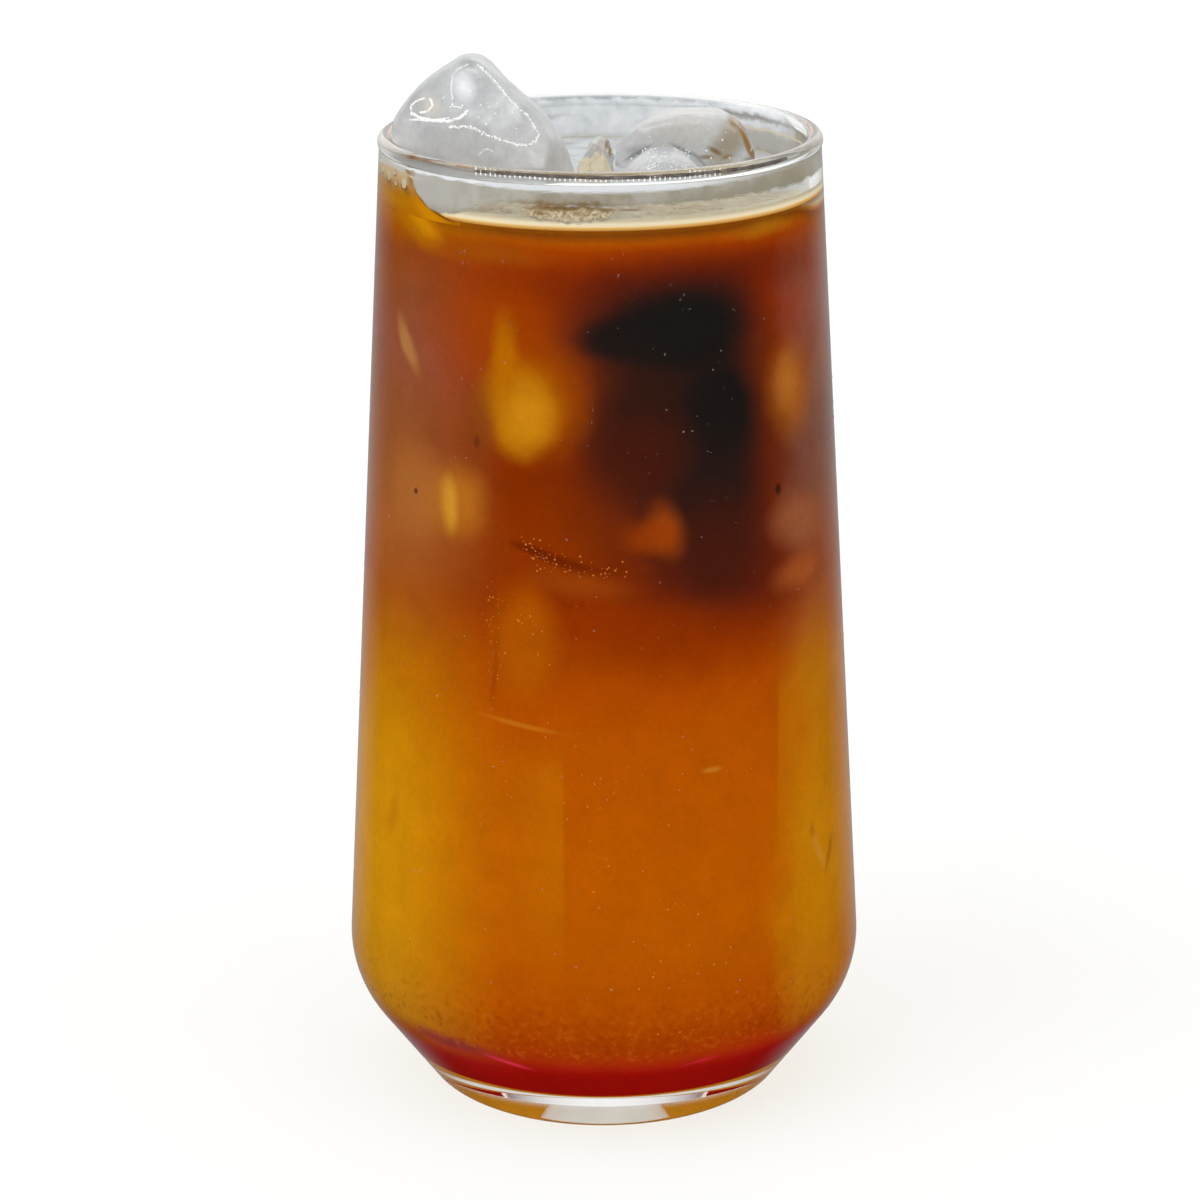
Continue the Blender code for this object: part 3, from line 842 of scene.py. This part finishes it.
# Foam
# A thin tan foam of coffee oils and air, whisked by the pouring, which wets the
# wall all round, and a lump of stiffer foam held between the ice. Melt water lies
# on it in the middle and at the back.
FOAM_THICKNESS = 1.4 * MM
FOAM_GAP = 0.1 * MM
FOAM_RISE = 0.3 * MM
FOAM_RADIUS = 30.0
FOAM_RINGS = 90
FOAM_WAVE = (4.0 * MM, 0.16 * MM)
FOAM_PIT = (0.9 * MM, 0.07 * MM)
LUMP_PLACE = Vector((-0.8, -4.6)) * MM
LUMP_RADIUS = 2.7 * MM
LUMP_HEIGHT = 3.4 * MM
LUMP_BUMP = (0.8 * MM, 0.45)
LUMP_CELL = (0.9 * MM, 0.13)
CREAM_WIDTH = 8.0
SLOPE_OF_MELT = 0.35
CURD_SIZE = 2.4
BUBBLE_SIZE = 0.8
BUBBLE_PATCH = 7.0
MELT_PATCH = 4.0
EDGE_REACH = (138.48, 140.0)
EDGE_RADIUS = 29.95
EDGE_TOP = 139.95

# Whipped oils of coffee: matt tan curds with brown specks, grey where the ice melts.
foam, add = blank("coffee_foam")
place = measured(add)
curd = add("TexNoise", {"Vector": place, "Scale": 1 / CURD_SIZE, "Detail": 5.0, "Roughness": 0.65})
paint = add("ValToRGB", (curd,), stops=(
    (0.30, "#a4947a"), (0.42, "#b4a589"), (0.55, "#c3b699"), (0.70, "#d2c6aa")))
x, y, z = add("SeparateXYZ", (place,)).outputs
flat = add("CombineXYZ", (x, y))
across = add("VectorMath", (flat,), "LENGTH")
bubble = add("TexNoise", {"Vector": place, "Scale": 1 / BUBBLE_SIZE, "Detail": 2.0, "Roughness": 0.6})
speck = add("MapRange", (bubble, 0.55, 0.64, 0.0, 0.8))
strewing = add("TexNoise", {"Vector": place, "Scale": 1 / BUBBLE_PATCH, "Detail": 2.0})
here = add("MapRange", (strewing, 0.50, 0.58))
paint = covered(add, paint, "#8a6038", speck, here)
# Brown streaks in front: azimuth, radius, half width and half depth, strength, colour.
for azimuth, radius, half_width, half_depth, strength, colour in (
    (-4, 23.4, 5.2, 1.3, 0.8, "#8b6b45"),
    (9, 24.6, 1.6, 0.8, 0.9, "#7d5a35"),
    (-12, 24.8, 2.6, 0.8, 0.8, "#95734c"),
):
    paint = cloud(
        add, paint, place, on_wall(azimuth, 140.1, radius), (half_width, half_depth, 3.0),
        (0.0, 0.0, math.radians(azimuth)), 0.7, strength, colour)

# Grey melt water, out to a ragged edge that leaves the cream free in front.
rough_edge = add("TexNoise", {"Vector": place, "Scale": 1 / MELT_PATCH, "Detail": 4.0})
toward = add("Math", (y, SLOPE_OF_MELT, across), "MULTIPLY_ADD")
outer = add("Math", (rough_edge, -5.0, toward), "MULTIPLY_ADD")
front_edge = (1 - SLOPE_OF_MELT) * (FOAM_RADIUS - CREAM_WIDTH) - 2.5
melted = add("MapRange", (outer, front_edge + 0.5, front_edge - 0.9, 0.0, 0.92), **SMOOTH)
behind = add("MapRange", (y, -14.0, -8.0, 0.0, 0.95), **SMOOTH)
wet = add("Math", (melted, behind), "MAXIMUM")
slush = add("ValToRGB", (rough_edge,), stops=((0.35, "#b4b6b5"), (0.45, "#c3c6c7"), (0.65, "#d3d8db")))
stiff = add("MapRange", (z, 140.6, 140.3))
paint = covered(add, paint, slush, wet, stiff)
pale = add("MapRange", (z, 140.6, 141.6, 0.0, 0.65))
paint = covered(add, paint, "#ddd3bd", pale)
rim = add("MapRange", (across, 28.8, 29.9, 0.0, 0.5), **SMOOTH)
paint = covered(add, paint, "#d6c9ac", rim)
# Its edge at the wall runs from amber, where it lies on the coffee, to pale.
risen = add("MapRange", (z, *EDGE_REACH))
edge = add("ValToRGB", (risen,), stops=(
    (0.0, "#b06c1c"), (0.12, "#dc9f48"), (0.27, "#ebb868"), (0.42, "#f0daac"), (0.62, "#e8dabb"),
    (0.82, "#d4c6a6"), (1.0, "#c3b496")))
at_wall = add("Math", (across, EDGE_RADIUS), "GREATER_THAN")
below = add("Math", (z, EDGE_TOP), "LESS_THAN")
paint = covered(add, paint, edge, at_wall, below)
# On the left the coffee has soaked it through.
paint = clouds(add, paint, place, (
    (-82, 139.3, 18.0, 4.0, 0, 0.25, 1.0, "#ac6a06"),
    (-50, 139.2, 3.0, 1.4, 28.65, 0.5, 1.0, "#c68404"),
), 5.0)
shader = add("BsdfPrincipled", {"Base Color": paint, "Roughness": 0.5, "Specular IOR Level": 0.2})
add("OutputMaterial", (shader,))

foam_bottom = COFFEE_TOP + FOAM_GAP
foam_top = COFFEE_TOP + FOAM_RISE + FOAM_THICKNESS
low_radius = wall_radius(foam_bottom) + WALL_BITE
top_radius = wall_radius(foam_top) + WALL_BITE
profile = [Vector((0.0, foam_bottom)), Vector((low_radius, foam_bottom))]
profile += [Vector((top_radius * (1 - ring / FOAM_RINGS), foam_top)) for ring in range(FOAM_RINGS + 1)]
head_body = turned(profile)
for vertex in head_body.verts:
    if vertex.co.z < foam_top - 0.01 * MM:
        continue
    spread = (vertex.co.xy - LUMP_PLACE).length / LUMP_RADIUS
    inside = min(1.0, (top_radius - vertex.co.xy.length) / (1.0 * MM))
    for size, depth in (FOAM_WAVE, FOAM_PIT):
        vertex.co.z += noise.noise(vertex.co / size) * depth * inside
    if spread < 1.0:
        rough = 0.95 + LUMP_BUMP[1] * noise.noise(vertex.co / LUMP_BUMP[0])
        rough += LUMP_CELL[1] * noise.cell(vertex.co / LUMP_CELL[0])
        vertex.co.z += LUMP_HEIGHT * math.sqrt(1 - spread ** 4) * rough
head = finished("coffee_foam", pocketed(head_body), foam)
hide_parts("foam")
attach(head, "root")

for cutter in cutters:
    bpy.data.objects.remove(cutter)

# Coffee film
# Coffee drawn up by its own wetting between the large ice and the wall, thin
# enough to glow golden, with bubbles caught along its upper edge.
FILM_EDGE = (
    (-112.0, 138.4), (-104.0, 139.4), (-96.0, 141.0), (-88.0, 142.6), (-78.0, 143.4), (-68.0, 143.7),
    (-60.0, 143.5), (-57.6, 143.0), (-56.4, 142.0), (-55.2, 141.2), (-52.0, 140.2), (-48.7, 139.45),
    (-45.0, 138.9), (-41.5, 138.6), (-38.5, 138.4),
)
FILM_BITE = 0.07 * MM
FILM_DEPTH = 0.3 * MM
FILM_LOW = 137.9 * MM
FILM_TUCK = 0.05 * MM
FILM_STREAK = 2.2
FILM_GRID = (96, 14)
FILM_RAGGED = (4.0, 0.25 * MM)
FILM_BUBBLES = (
    (-61.8, 142.0, 1.3), (-71.8, 142.1, 1.25), (-66.6, 141.6, 0.55), (-67.4, 143.0, 0.5),
    (-77.6, 142.4, 0.7), (-83.6, 141.6, 0.7), (-90.4, 141.0, 0.5),
)

# Coffee so thin that it glows: golden below, paler toward its upper edge.
film, add = blank("thin_coffee")
place = measured(add)
streak = add("TexNoise", {"Vector": place, "Scale": 1 / FILM_STREAK, "Detail": 3.0})
tall = add("SeparateXYZ", (place,)).outputs[2]
waved = add("Math", (streak, 1.6, tall), "MULTIPLY_ADD")
share = add("MapRange", (waved, 138.0, 144.6))
golden = add("ValToRGB", (share,), stops=(
    (0.0, "#a86204"), (0.16, "#aa6804"), (0.3, "#b07206"), (0.48, "#aa6f10"), (0.62, "#aa7c3c"),
    (0.76, "#b89a6c"), (1.0, "#c6b493")))
golden = clouds(add, golden, place, (
    (-52, 138.2, 5.4, 2.2, 28, 0.8, 0.9, "#b26c04"),
    (-49, 138.5, 4.0, 1.1, 26, 0.8, 1.0, "#c68004"),
    (-58.2, 143.0, 0.8, 1.3, 0, 0.8, 0.9, "#95743f"),
    (-60.6, 141.2, 1.1, 0.5, 20, 0.8, 0.8, "#8a5c20"),
    (-71.0, 141.2, 1.2, 0.5, 0, 0.8, 0.8, "#94642a"),
    (-55.8, 141.4, 0.2, 0.9, 14, 0.8, 0.8, "#9a7444"),
    (-53.6, 140.6, 1.4, 0.12, 34, 0.8, 0.8, "#8a5a22"),
    (-50.4, 139.8, 1.5, 0.13, 26, 0.8, 0.85, "#7c4a12"),
    (-46.8, 139.1, 1.5, 0.14, 18, 0.8, 0.9, "#72400c"),
    (-43.2, 138.6, 1.5, 0.15, 12, 0.8, 0.9, "#6e3c08"),
), 4.0)
shader = add("BsdfPrincipled", {"Base Color": golden, "Roughness": 0.4, "Specular IOR Level": 0.0})
add("OutputMaterial", (shader,))


def edge_height(azimuth):
    """How high the film stands on the wall at an azimuth, in metres."""
    for (start, low), (end, high) in zip(FILM_EDGE, FILM_EDGE[1:]):
        if start <= azimuth <= end:
            return (low + (high - low) * (azimuth - start) / (end - start)) * MM
    raise ValueError(azimuth)


drawn = bmesh.new()
bmesh.ops.create_grid(drawn, x_segments=FILM_GRID[0], y_segments=FILM_GRID[1], size=0.5)
for vertex in drawn.verts:
    azimuth = FILM_EDGE[0][0] + (FILM_EDGE[-1][0] - FILM_EDGE[0][0]) * (vertex.co.x + 0.5)
    azimuth = min(max(azimuth, FILM_EDGE[0][0]), FILM_EDGE[-1][0])
    stray = noise.noise(Vector((azimuth / FILM_RAGGED[0], 0, 0)))
    top = edge_height(azimuth) + stray * FILM_RAGGED[1]
    tall = FILM_LOW + (top - FILM_LOW) * (vertex.co.y + 0.5)
    # The lowest row turns in behind the drink's own skin, so that no edge shows.
    tucked = FILM_TUCK if vertex.co.y < -0.49 else 0.0
    vertex.co = on_wall(azimuth, tall, wall_radius(tall) + FILM_BITE - tucked)
bmesh.ops.recalc_face_normals(drawn, faces=drawn.faces)
bmesh.ops.solidify(drawn, geom=drawn.faces, thickness=FILM_DEPTH)
bmesh.ops.recalc_face_normals(drawn, faces=drawn.faces)
wetting = finished("coffee_film", drawn, film, smooth=False)
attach(wetting, "root")

# Bubbles in it: a pale skin that bulges against the wall, in a dark ring of coffee.
# Name, darker and lighter colour, how wide, how far into the wall, how far down.
for name, dark, light, swell, bite, drop in (
    ("bubble_rings", "#6e4921", "#825829", 1.2, 0.18 * MM, 0.2),
    ("bubble_skins", "#b0a087", "#cebc9f", 0.82, 0.26 * MM, 0.0),
):
    skin = flecked(
        name, 1.11, 3.0, ((0.3, dark), (0.7, light)), {"Roughness": 0.3, "Specular IOR Level": 0.1})
    places = []
    for azimuth, tall, radius in FILM_BUBBLES:
        height = (tall - radius * drop) * MM
        outward = on_wall(azimuth, 0.0, 1.0)
        depth = radius * 0.35 * MM * swell
        middle = on_wall(azimuth, height, wall_radius(height) + bite - depth)
        places.append((middle, outward, radius * swell * MM, 0.35))
    bubbles = finished(name, strewn(places), skin)
    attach(bubbles, "root")

# Pulp
# Shreds of orange that cling to the inside of the wall where the coffee meets the
# juice: azimuth and height of both ends of each row, and how many.
PULP_ROWS = (
    (-19.0, 93.6, -9.0, 90.4, 46), (-9.0, 90.4, 6.0, 90.0, 30), (-27.5, 88.0, -25.5, 72.0, 44),
    (-20.0, 84.0, -12.0, 74.0, 22), (-30.0, 70.0, 30.0, 22.0, 110), (150.0, 92.0, 172.0, 89.0, 50),
    (-150.0, 86.0, -120.0, 60.0, 60), (60.0, 60.0, 120.0, 30.0, 60), (-120.0, 50.0, -60.0, 25.0, 60),
)
PULP_STRAY = (1.6, 0.9)
PULP_BITE = 0.08 * MM
PULP_RADIUS = 0.16
PULP_LOW = 20.0 * MM
PULP_HIGH = 130.0 * MM

# Wet orange, soft and without gloss, some shreds lighter than others.
pulp = flecked(
    "orange_pulp", 0.667, 2.0, ((0.3, "#a8501a"), (0.7, "#cf8030")),
    {"Roughness": 0.6, "Specular IOR Level": 0.0})
places = []
for start, low, end, high, count in PULP_ROWS:
    stray = 1.0 if count < 50 else 6.0
    for number in range(count):
        share = draw.random()
        azimuth = start + (end - start) * share + draw.gauss(0.0, PULP_STRAY[0] * stray)
        height = (low + (high - low) * share + draw.gauss(0.0, PULP_STRAY[1] * stray)) * MM
        height = min(max(height, PULP_LOW), PULP_HIGH)
        radius = PULP_RADIUS * MM * (0.5 + draw.random() ** 3)
        deep = wall_radius(height) + PULP_BITE - radius * 0.5
        places.append((on_wall(azimuth, height, deep), on_wall(azimuth, 0.0, 1.0), radius, 0.5))
shreds = finished("orange_pulp", strewn(places), pulp)
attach(shreds, "root")

# Mist
# Breath-fine drops of water on the cold inside of the wall above the drink, with a
# tide mark of foam at the level that the glass was first filled to.
MIST_LOW = 139.0 * MM
MIST_HIGH = 146.55 * MM
MIST_BITE = 0.04 * MM
MIST_DEPTH = 0.15 * MM
TIDE_MARK = 143.4
TIDE_WANDER = 1.2
MIST_SWIRL = (2.4, 2.4, 1.6)
MIST_CLOUD_DEPTH = 6.0
MIST_BLOTCH = 3.0
MIST_STIR = 1.6
FROTH = (-9.0, 140.9, 6.6, 1.15)
FROTH_SIZE = 0.42
TIDE_SIZE = 8.0
GLEAM_HEIGHT = 144.45
GLEAM_WANDER = 0.9

# It scatters light, and that light is painted in: white at the back, where the light
# behind shines through it, a warm grey in front, clear where it thins out.
mist, add = blank("fine_mist")
place = measured(add)
x, y, z = add("SeparateXYZ", (place,)).outputs
blotch = add("TexNoise", {"Vector": place, "Scale": 1 / MIST_BLOTCH, "Detail": 4.0, "Roughness": 0.6})
stirred = add("TexNoise", {"Vector": place, "Scale": 1 / MIST_STIR, "Detail": 3.0})
shaken = add("VectorMath", (stirred.outputs["Color"], (0.5, 0.5, 0.5)), "SUBTRACT")
blurred = add("VectorMath", (shaken, MIST_SWIRL, place), "MULTIPLY_ADD")
cool = add("ValToRGB", (blotch,), stops=((0.32, "#dadee1"), (0.46, "#eaeef2"), (0.68, "#f8fafd")))
warm = add("ValToRGB", (blotch,), stops=((0.34, "#a0967f"), (0.48, "#b0aa9c"), (0.68, "#c2beb2")))
front = add("MapRange", (y, 13.0, 8.0))
paint = covered(add, cool, warm, front)
paint = clouds(add, paint, blurred, (
    (-52, 142.0, 9.0, 3.2, 0, 0.6, 0.9, "#bab7b0"),
    (-78, 144.2, 14.0, 1.6, 0, 0.6, 0.9, "#cdc9c2"),
    (-59.0, 144.6, 1.1, 1.6, 0, 0.7, 0.95, "#9c7f54"),
    (120, 141.6, 16.0, 1.9, 0, 0.5, 0.85, "#bab6ad"),
    (132, 145.0, 10.0, 0.5, 0, 0.7, 0.8, "#a3a09a"),
    (60, 143.2, 8.0, 2.0, 0, 0.7, 0.6, "#9c917c"),
    (38, 142.0, 12.0, 1.4, 0, 0.8, 0.7, "#938a77"),
    (2, 141.2, 15.0, 1.0, 0, 0.8, 0.4, "#93846c"),
    (-8, 142.8, 5.0, 0.7, 0, 0.9, 0.5, "#94866e"),
    # Painted shade: the grey row along the back under the lip, for the dark line that the bead shows.
    (180, 146.5, 60.0, 0.5, 0, 0.8, 0.85, "#8f969b"),
    (150, 144.6, 3.0, 0.5, 0, 0.8, 0.5, "#b8b9b6"),
    (-165, 143.4, 3.0, 0.4, 0, 0.8, 0.5, "#b8b9b8"),
), MIST_CLOUD_DEPTH)
# A patch of froth clings to the wall in front, brown along its upper edge.
azimuth, tall, half_width, half_height = FROTH
far = reach(
    add, blurred, on_wall(azimuth, tall, wall_radius(tall * MM) / MM),
    (half_width, MIST_CLOUD_DEPTH, half_height), (0.0, 0.0, math.radians(azimuth)))
frothy = add("MapRange", (far, 1.25, 0.8, 0.0, 0.86))
fleck = add("TexNoise", {"Vector": place, "Scale": 1 / FROTH_SIZE, "Detail": 2.0, "Roughness": 0.6})
froth = add("ValToRGB", (fleck,), stops=(
    (0.34, "#94774e"), (0.44, "#b9a47e"), (0.54, "#cdbd9b"), (0.66, "#e2d6bc")))
paint = covered(add, paint, froth, frothy)
paint = clouds(add, paint, blurred, (
    (-12.0, 141.9, 4.4, 0.5, 0, 0.9, 1.0, "#806036"),
    (-4.0, 142.0, 2.8, 0.46, 0, 0.9, 0.95, "#7c6038"),
    (1.6, 141.6, 0.9, 0.42, 0, 0.8, 1.0, "#86602e"),
    (-15.5, 140.9, 0.6, 0.3, 0, 0.9, 0.8, "#8f6c40"),
    (-5.4, 140.9, 0.5, 0.3, 0, 0.9, 0.8, "#8f6c40"),
), MIST_CLOUD_DEPTH)
wander = add("TexNoise", {"Vector": place, "Scale": 1 / TIDE_SIZE})
level = add("Math", (wander, TIDE_WANDER, z), "MULTIPLY_ADD")
off = add("Math", (level, TIDE_MARK + TIDE_WANDER / 2), "SUBTRACT")
gap = add("Math", (off,), "ABSOLUTE")
tide = add("MapRange", (gap, 0.20, 0.08, 0.0, 0.9))
to_left = add("MapRange", (x, -24.5, -26.5))
to_right = add("MapRange", (x, 12.0, 18.0))
behind = add("Math", (y, 0.0), "GREATER_THAN")
to_back = add("Math", (to_right, behind), "MULTIPLY")
sides = add("Math", (to_left, to_back), "MAXIMUM")
paint = covered(add, paint, "#e9dcc0", tide, sides)
# In front a band of light stands under the lip, and the foam shows through clear
# glass below the mist.
drawn_out = add("Mapping", {"Vector": place, "Scale": (0.12, 0.12, 1.6)})
streaky = add("TexNoise", {"Vector": drawn_out, "Detail": 3.0})
risen = add("Math", (streaky, GLEAM_WANDER, z), "MULTIPLY_ADD")
from_gleam = add("Math", (risen, GLEAM_HEIGHT + GLEAM_WANDER / 2), "SUBTRACT")
off_gleam = add("Math", (from_gleam,), "ABSOLUTE")
middling = add("Math", (x,), "ABSOLUTE")
gleam_width = add("MapRange", (middling, 8.0, 20.0, 0.85, 0.35))
narrower = add("Math", (off_gleam, gleam_width), "DIVIDE")
gleam = add("MapRange", (narrower, 1.1, 0.3, 0.0, 0.95), **SMOOTH)
in_front = add("MapRange", (y, -8.0, -16.0))
off_right = add("MapRange", (x, 24.0, 12.0, 0.15))
paint = covered(add, paint, "#f4f6fa", gleam, in_front, off_right)
toward_left = add("MapRange", (x, -13.0, -22.0), **SMOOTH)
low_left = add("MapRange", (toward_left, 0.0, 1.0, 141.9, 139.2))
lower = add("Mix", {0: front, 2: 139.0, 3: low_left}, data_type="FLOAT")
lower = add("Math", (blotch, 1.6, lower), "MULTIPLY_ADD")
lower = add("Math", (lower, 0.8), "SUBTRACT")
above = add("Math", (z, lower), "SUBTRACT")
covers = add("MapRange", (above, -0.3, 0.5, 0.0, 0.84), **SMOOTH)
upper = add("Mix", {0: front, 2: 146.6, 3: 145.3}, data_type="FLOAT")
short = add("Math", (upper, z), "SUBTRACT")
thins = add("MapRange", (short, 0.0, 0.5))
alpha = add("Math", (covers, thins), "MULTIPLY")
alpha = add("Math", (alpha, frothy), "MAXIMUM")
shader = add("BsdfPrincipled", {
    "Base Color": paint, "Roughness": 0.6, "Specular IOR Level": 0.0, "Alpha": alpha})
add("OutputMaterial", (shader,))

within = [Vector((wall_radius(MIST_LOW), MIST_LOW))]
within += [point for point in inner_wall + rim_bead
           if MIST_LOW < point.y < MIST_HIGH and point.x < RIM_RADIUS - WALL_AT_RIM / 2]
ring = inset(within, -MIST_BITE)
ring[0].x = wall_radius(ring[0].y) + MIST_BITE
inner = inset(within, MIST_DEPTH)
inner[0].x = ring[0].x - MIST_DEPTH
ring += inner[::-1]
shell = turned(ring + ring[:1])
fog = finished("wall_mist", shell, mist)
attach(fog, "root")

# Lip
# A dark line along the front of the lip, and small drops of water that hang across it,
# painted white as highlights.
glass_tree = BVHTree.FromPolygons(
    [vertex.co for vertex in tumbler.data.vertices],
    [list(face.vertices) for face in tumbler.data.polygons],
)
LIP_ROW = (
    (476, 171), (500, 173), (530, 175), (565, 177), (606, 178), (650, 177), (690, 174.5),
    (725, 171), (755, 166.5), (775, 162), (787, 158),
)
LIP_STEP = 1.0
LIP_RADIUS = 0.30
# Drops stand in short columns across the line, shorter in the middle of the row.
DROP_STEP = 5.2
DROP_REACH = 722
DROP_LOW = 3.5
DROP_PITCH = 1.2
DROP_RADIUS = (0.09, 0.15)
FEW_DROPS = (500, 690)

# Without gloss, from near black to grey brown.
lip_line_paint = flecked(
    "dark_lip_paint", 1.43, 4.0, ((0.35, "#4d443c"), (0.5, "#5e554d"), (0.65, "#7a7069")),
    {"Roughness": 0.6})
places = []
for across, down in along(LIP_ROW, LIP_STEP):
    seen = sight(across, down, [glass_tree])
    if seen:
        size = LIP_RADIUS * MM * (1.0 + 0.35 * noise.noise(seen[0] / (2.0 * MM)))
        places.append((seen[0], seen[1], size, 0.3))
dark_line = finished("dark_lip_line", strewn(places), lip_line_paint)
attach(dark_line, "root")

places = []
for across, down in along(LIP_ROW, DROP_STEP):
    if across < DROP_REACH:
        few = FEW_DROPS[0] < across < FEW_DROPS[1]
        for number in range(draw.randint(2, 4) if few else draw.randint(5, 7)):
            seen = sight(across, down + DROP_LOW - DROP_PITCH * number, [glass_tree])
            if seen:
                places.append((seen[0], seen[1], draw.uniform(*DROP_RADIUS) * MM, 0.6))
lip_drops = finished("lip_drops", strewn(places), glinting_melt_water)
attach(lip_drops, "root")

# Condensation
# Water from the air on the cold outside of the tumbler, in drops too small to run.
DEW_COUNT = 1500
DEW_LOW = 24.0
DEW_HIGH = 137.0
DEW_PATCH = (14.0, 11.0 * MM)
DEW_SHARE = 0.45
DEW_RADIUS = (0.06, 0.14)

# Clear water: each drop gathers the colours behind it and a point of light.
dew, add = blank("dew")
shader = add("BsdfPrincipled", {
    "Base Color": linear("#fbfdfd"), "Roughness": 0.02, "IOR": 1.33, "Transmission Weight": 1.0})
lamps_pass(add, shader)
places = []
while len(places) < DEW_COUNT:
    azimuth = draw.uniform(-180.0, 180.0)
    height = draw.uniform(DEW_LOW, DEW_HIGH) * MM
    gathered = noise.noise(Vector((azimuth / DEW_PATCH[0], height / DEW_PATCH[1], 0.0)))
    if draw.random() < DEW_SHARE + gathered:
        radius = (DEW_RADIUS[0] + DEW_RADIUS[1] * draw.random() ** 4) * MM
        outside = wall_radius(height, outer_wall)
        places.append((on_wall(azimuth, height, outside), on_wall(azimuth, 0.0, 1.0), radius, 0.45))
dew_drops = finished("condensation", strewn(places), dew)
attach(dew_drops, "root")

# Studio
# A pale matt table under wide soft lamps, with a brighter wall of light behind.
FLOOR_SIZE = 8.0
HALO_HEIGHT = 0.70
HALO_REACH = (0.08, 0.03)
HALO_STRENGTH = 2.2
# Soft lamps that only gloss shows: direction, cosines of the inner and outer edge, strength.
SOFT_LAMPS = (
    ((-0.37, -0.53, 0.76), 0.985, 0.955, 5.0),
    ((0.55, -0.35, 0.76), 0.990, 0.970, 3.0),
)
# Lamps that light the pieces: azimuth, height and softness in degrees.
LAMPS = (("key", -60.0, 45.0, 0.8, 50.0), ("fill", 60.0, 35.0, 0.4, 60.0))

# A matt surface that shows only a soft shadow.
matt, add = blank("pale_table")
shader = add("BsdfPrincipled", {
    "Base Color": linear("#fafafa"), "Roughness": 0.8, "Specular IOR Level": 0.0})
add("OutputMaterial", (shader,))
table = bmesh.new()
bmesh.ops.create_grid(table, x_segments=1, y_segments=1, size=FLOOR_SIZE / 2)
top = finished("table", table, matt, smooth=False)
top.visible_glossy = False

world = bpy.data.worlds.new("studio")
bpy.context.scene.world = world
world.use_nodes = True
world.node_tree.nodes.clear()
sky = partial(node, world.node_tree)
view = sky("TexCoord").outputs["Generated"]
aside, deep, up = sky("SeparateXYZ", (view,)).outputs
glint = sky("MapRange", (deep, 0.55, 1.0, 0.025, 0.9), **SMOOTH)
below = sky("MapRange", (up, -0.18, -0.06, 0.4), **SMOOTH)
above = sky("MapRange", (up, 0.02, 0.18, 1.0, 1.5), **SMOOTH)
for factor in (below, above):
    glint = sky("Math", (glint, factor), "MULTIPLY")
for direction, narrow, wide, strength in SOFT_LAMPS:
    toward = sky("VectorMath", (view, direction), "DOT_PRODUCT")
    lamp = sky("MapRange", (toward, wide, narrow, 0.0, strength), **SMOOTH)
    glint = sky("Math", (glint, lamp), "ADD")
# A ring of soft light above the viewer, which draws the bright line along the lip.
from_halo = sky("Math", (up, HALO_HEIGHT), "SUBTRACT")
off_halo = sky("Math", (from_halo,), "ABSOLUTE")
halo = sky("MapRange", (off_halo, *HALO_REACH, 0.0, HALO_STRENGTH), **SMOOTH)
glint = sky("Math", (glint, halo), "ADD")
ray = sky("LightPath")
glow = sky("Mix", {0: ray.outputs["Is Glossy Ray"], 2: 0.85, 3: glint}, data_type="FLOAT")
light = sky("Background", {"Color": (1.0, 1.0, 1.0, 1.0), "Strength": glow})
sky("OutputWorld", {"Surface": light})

for name, azimuth, elevation, strength, softness in LAMPS:
    lamp = bpy.data.lights.new(name, "SUN")
    lamp.energy = strength
    lamp.angle = math.radians(softness)
    stand = bpy.data.objects.new(name, lamp)
    bpy.context.scene.collection.objects.link(stand)
    stand.rotation_euler = (math.radians(90.0 - elevation), 0.0, math.radians(azimuth))
    stand.visible_glossy = False
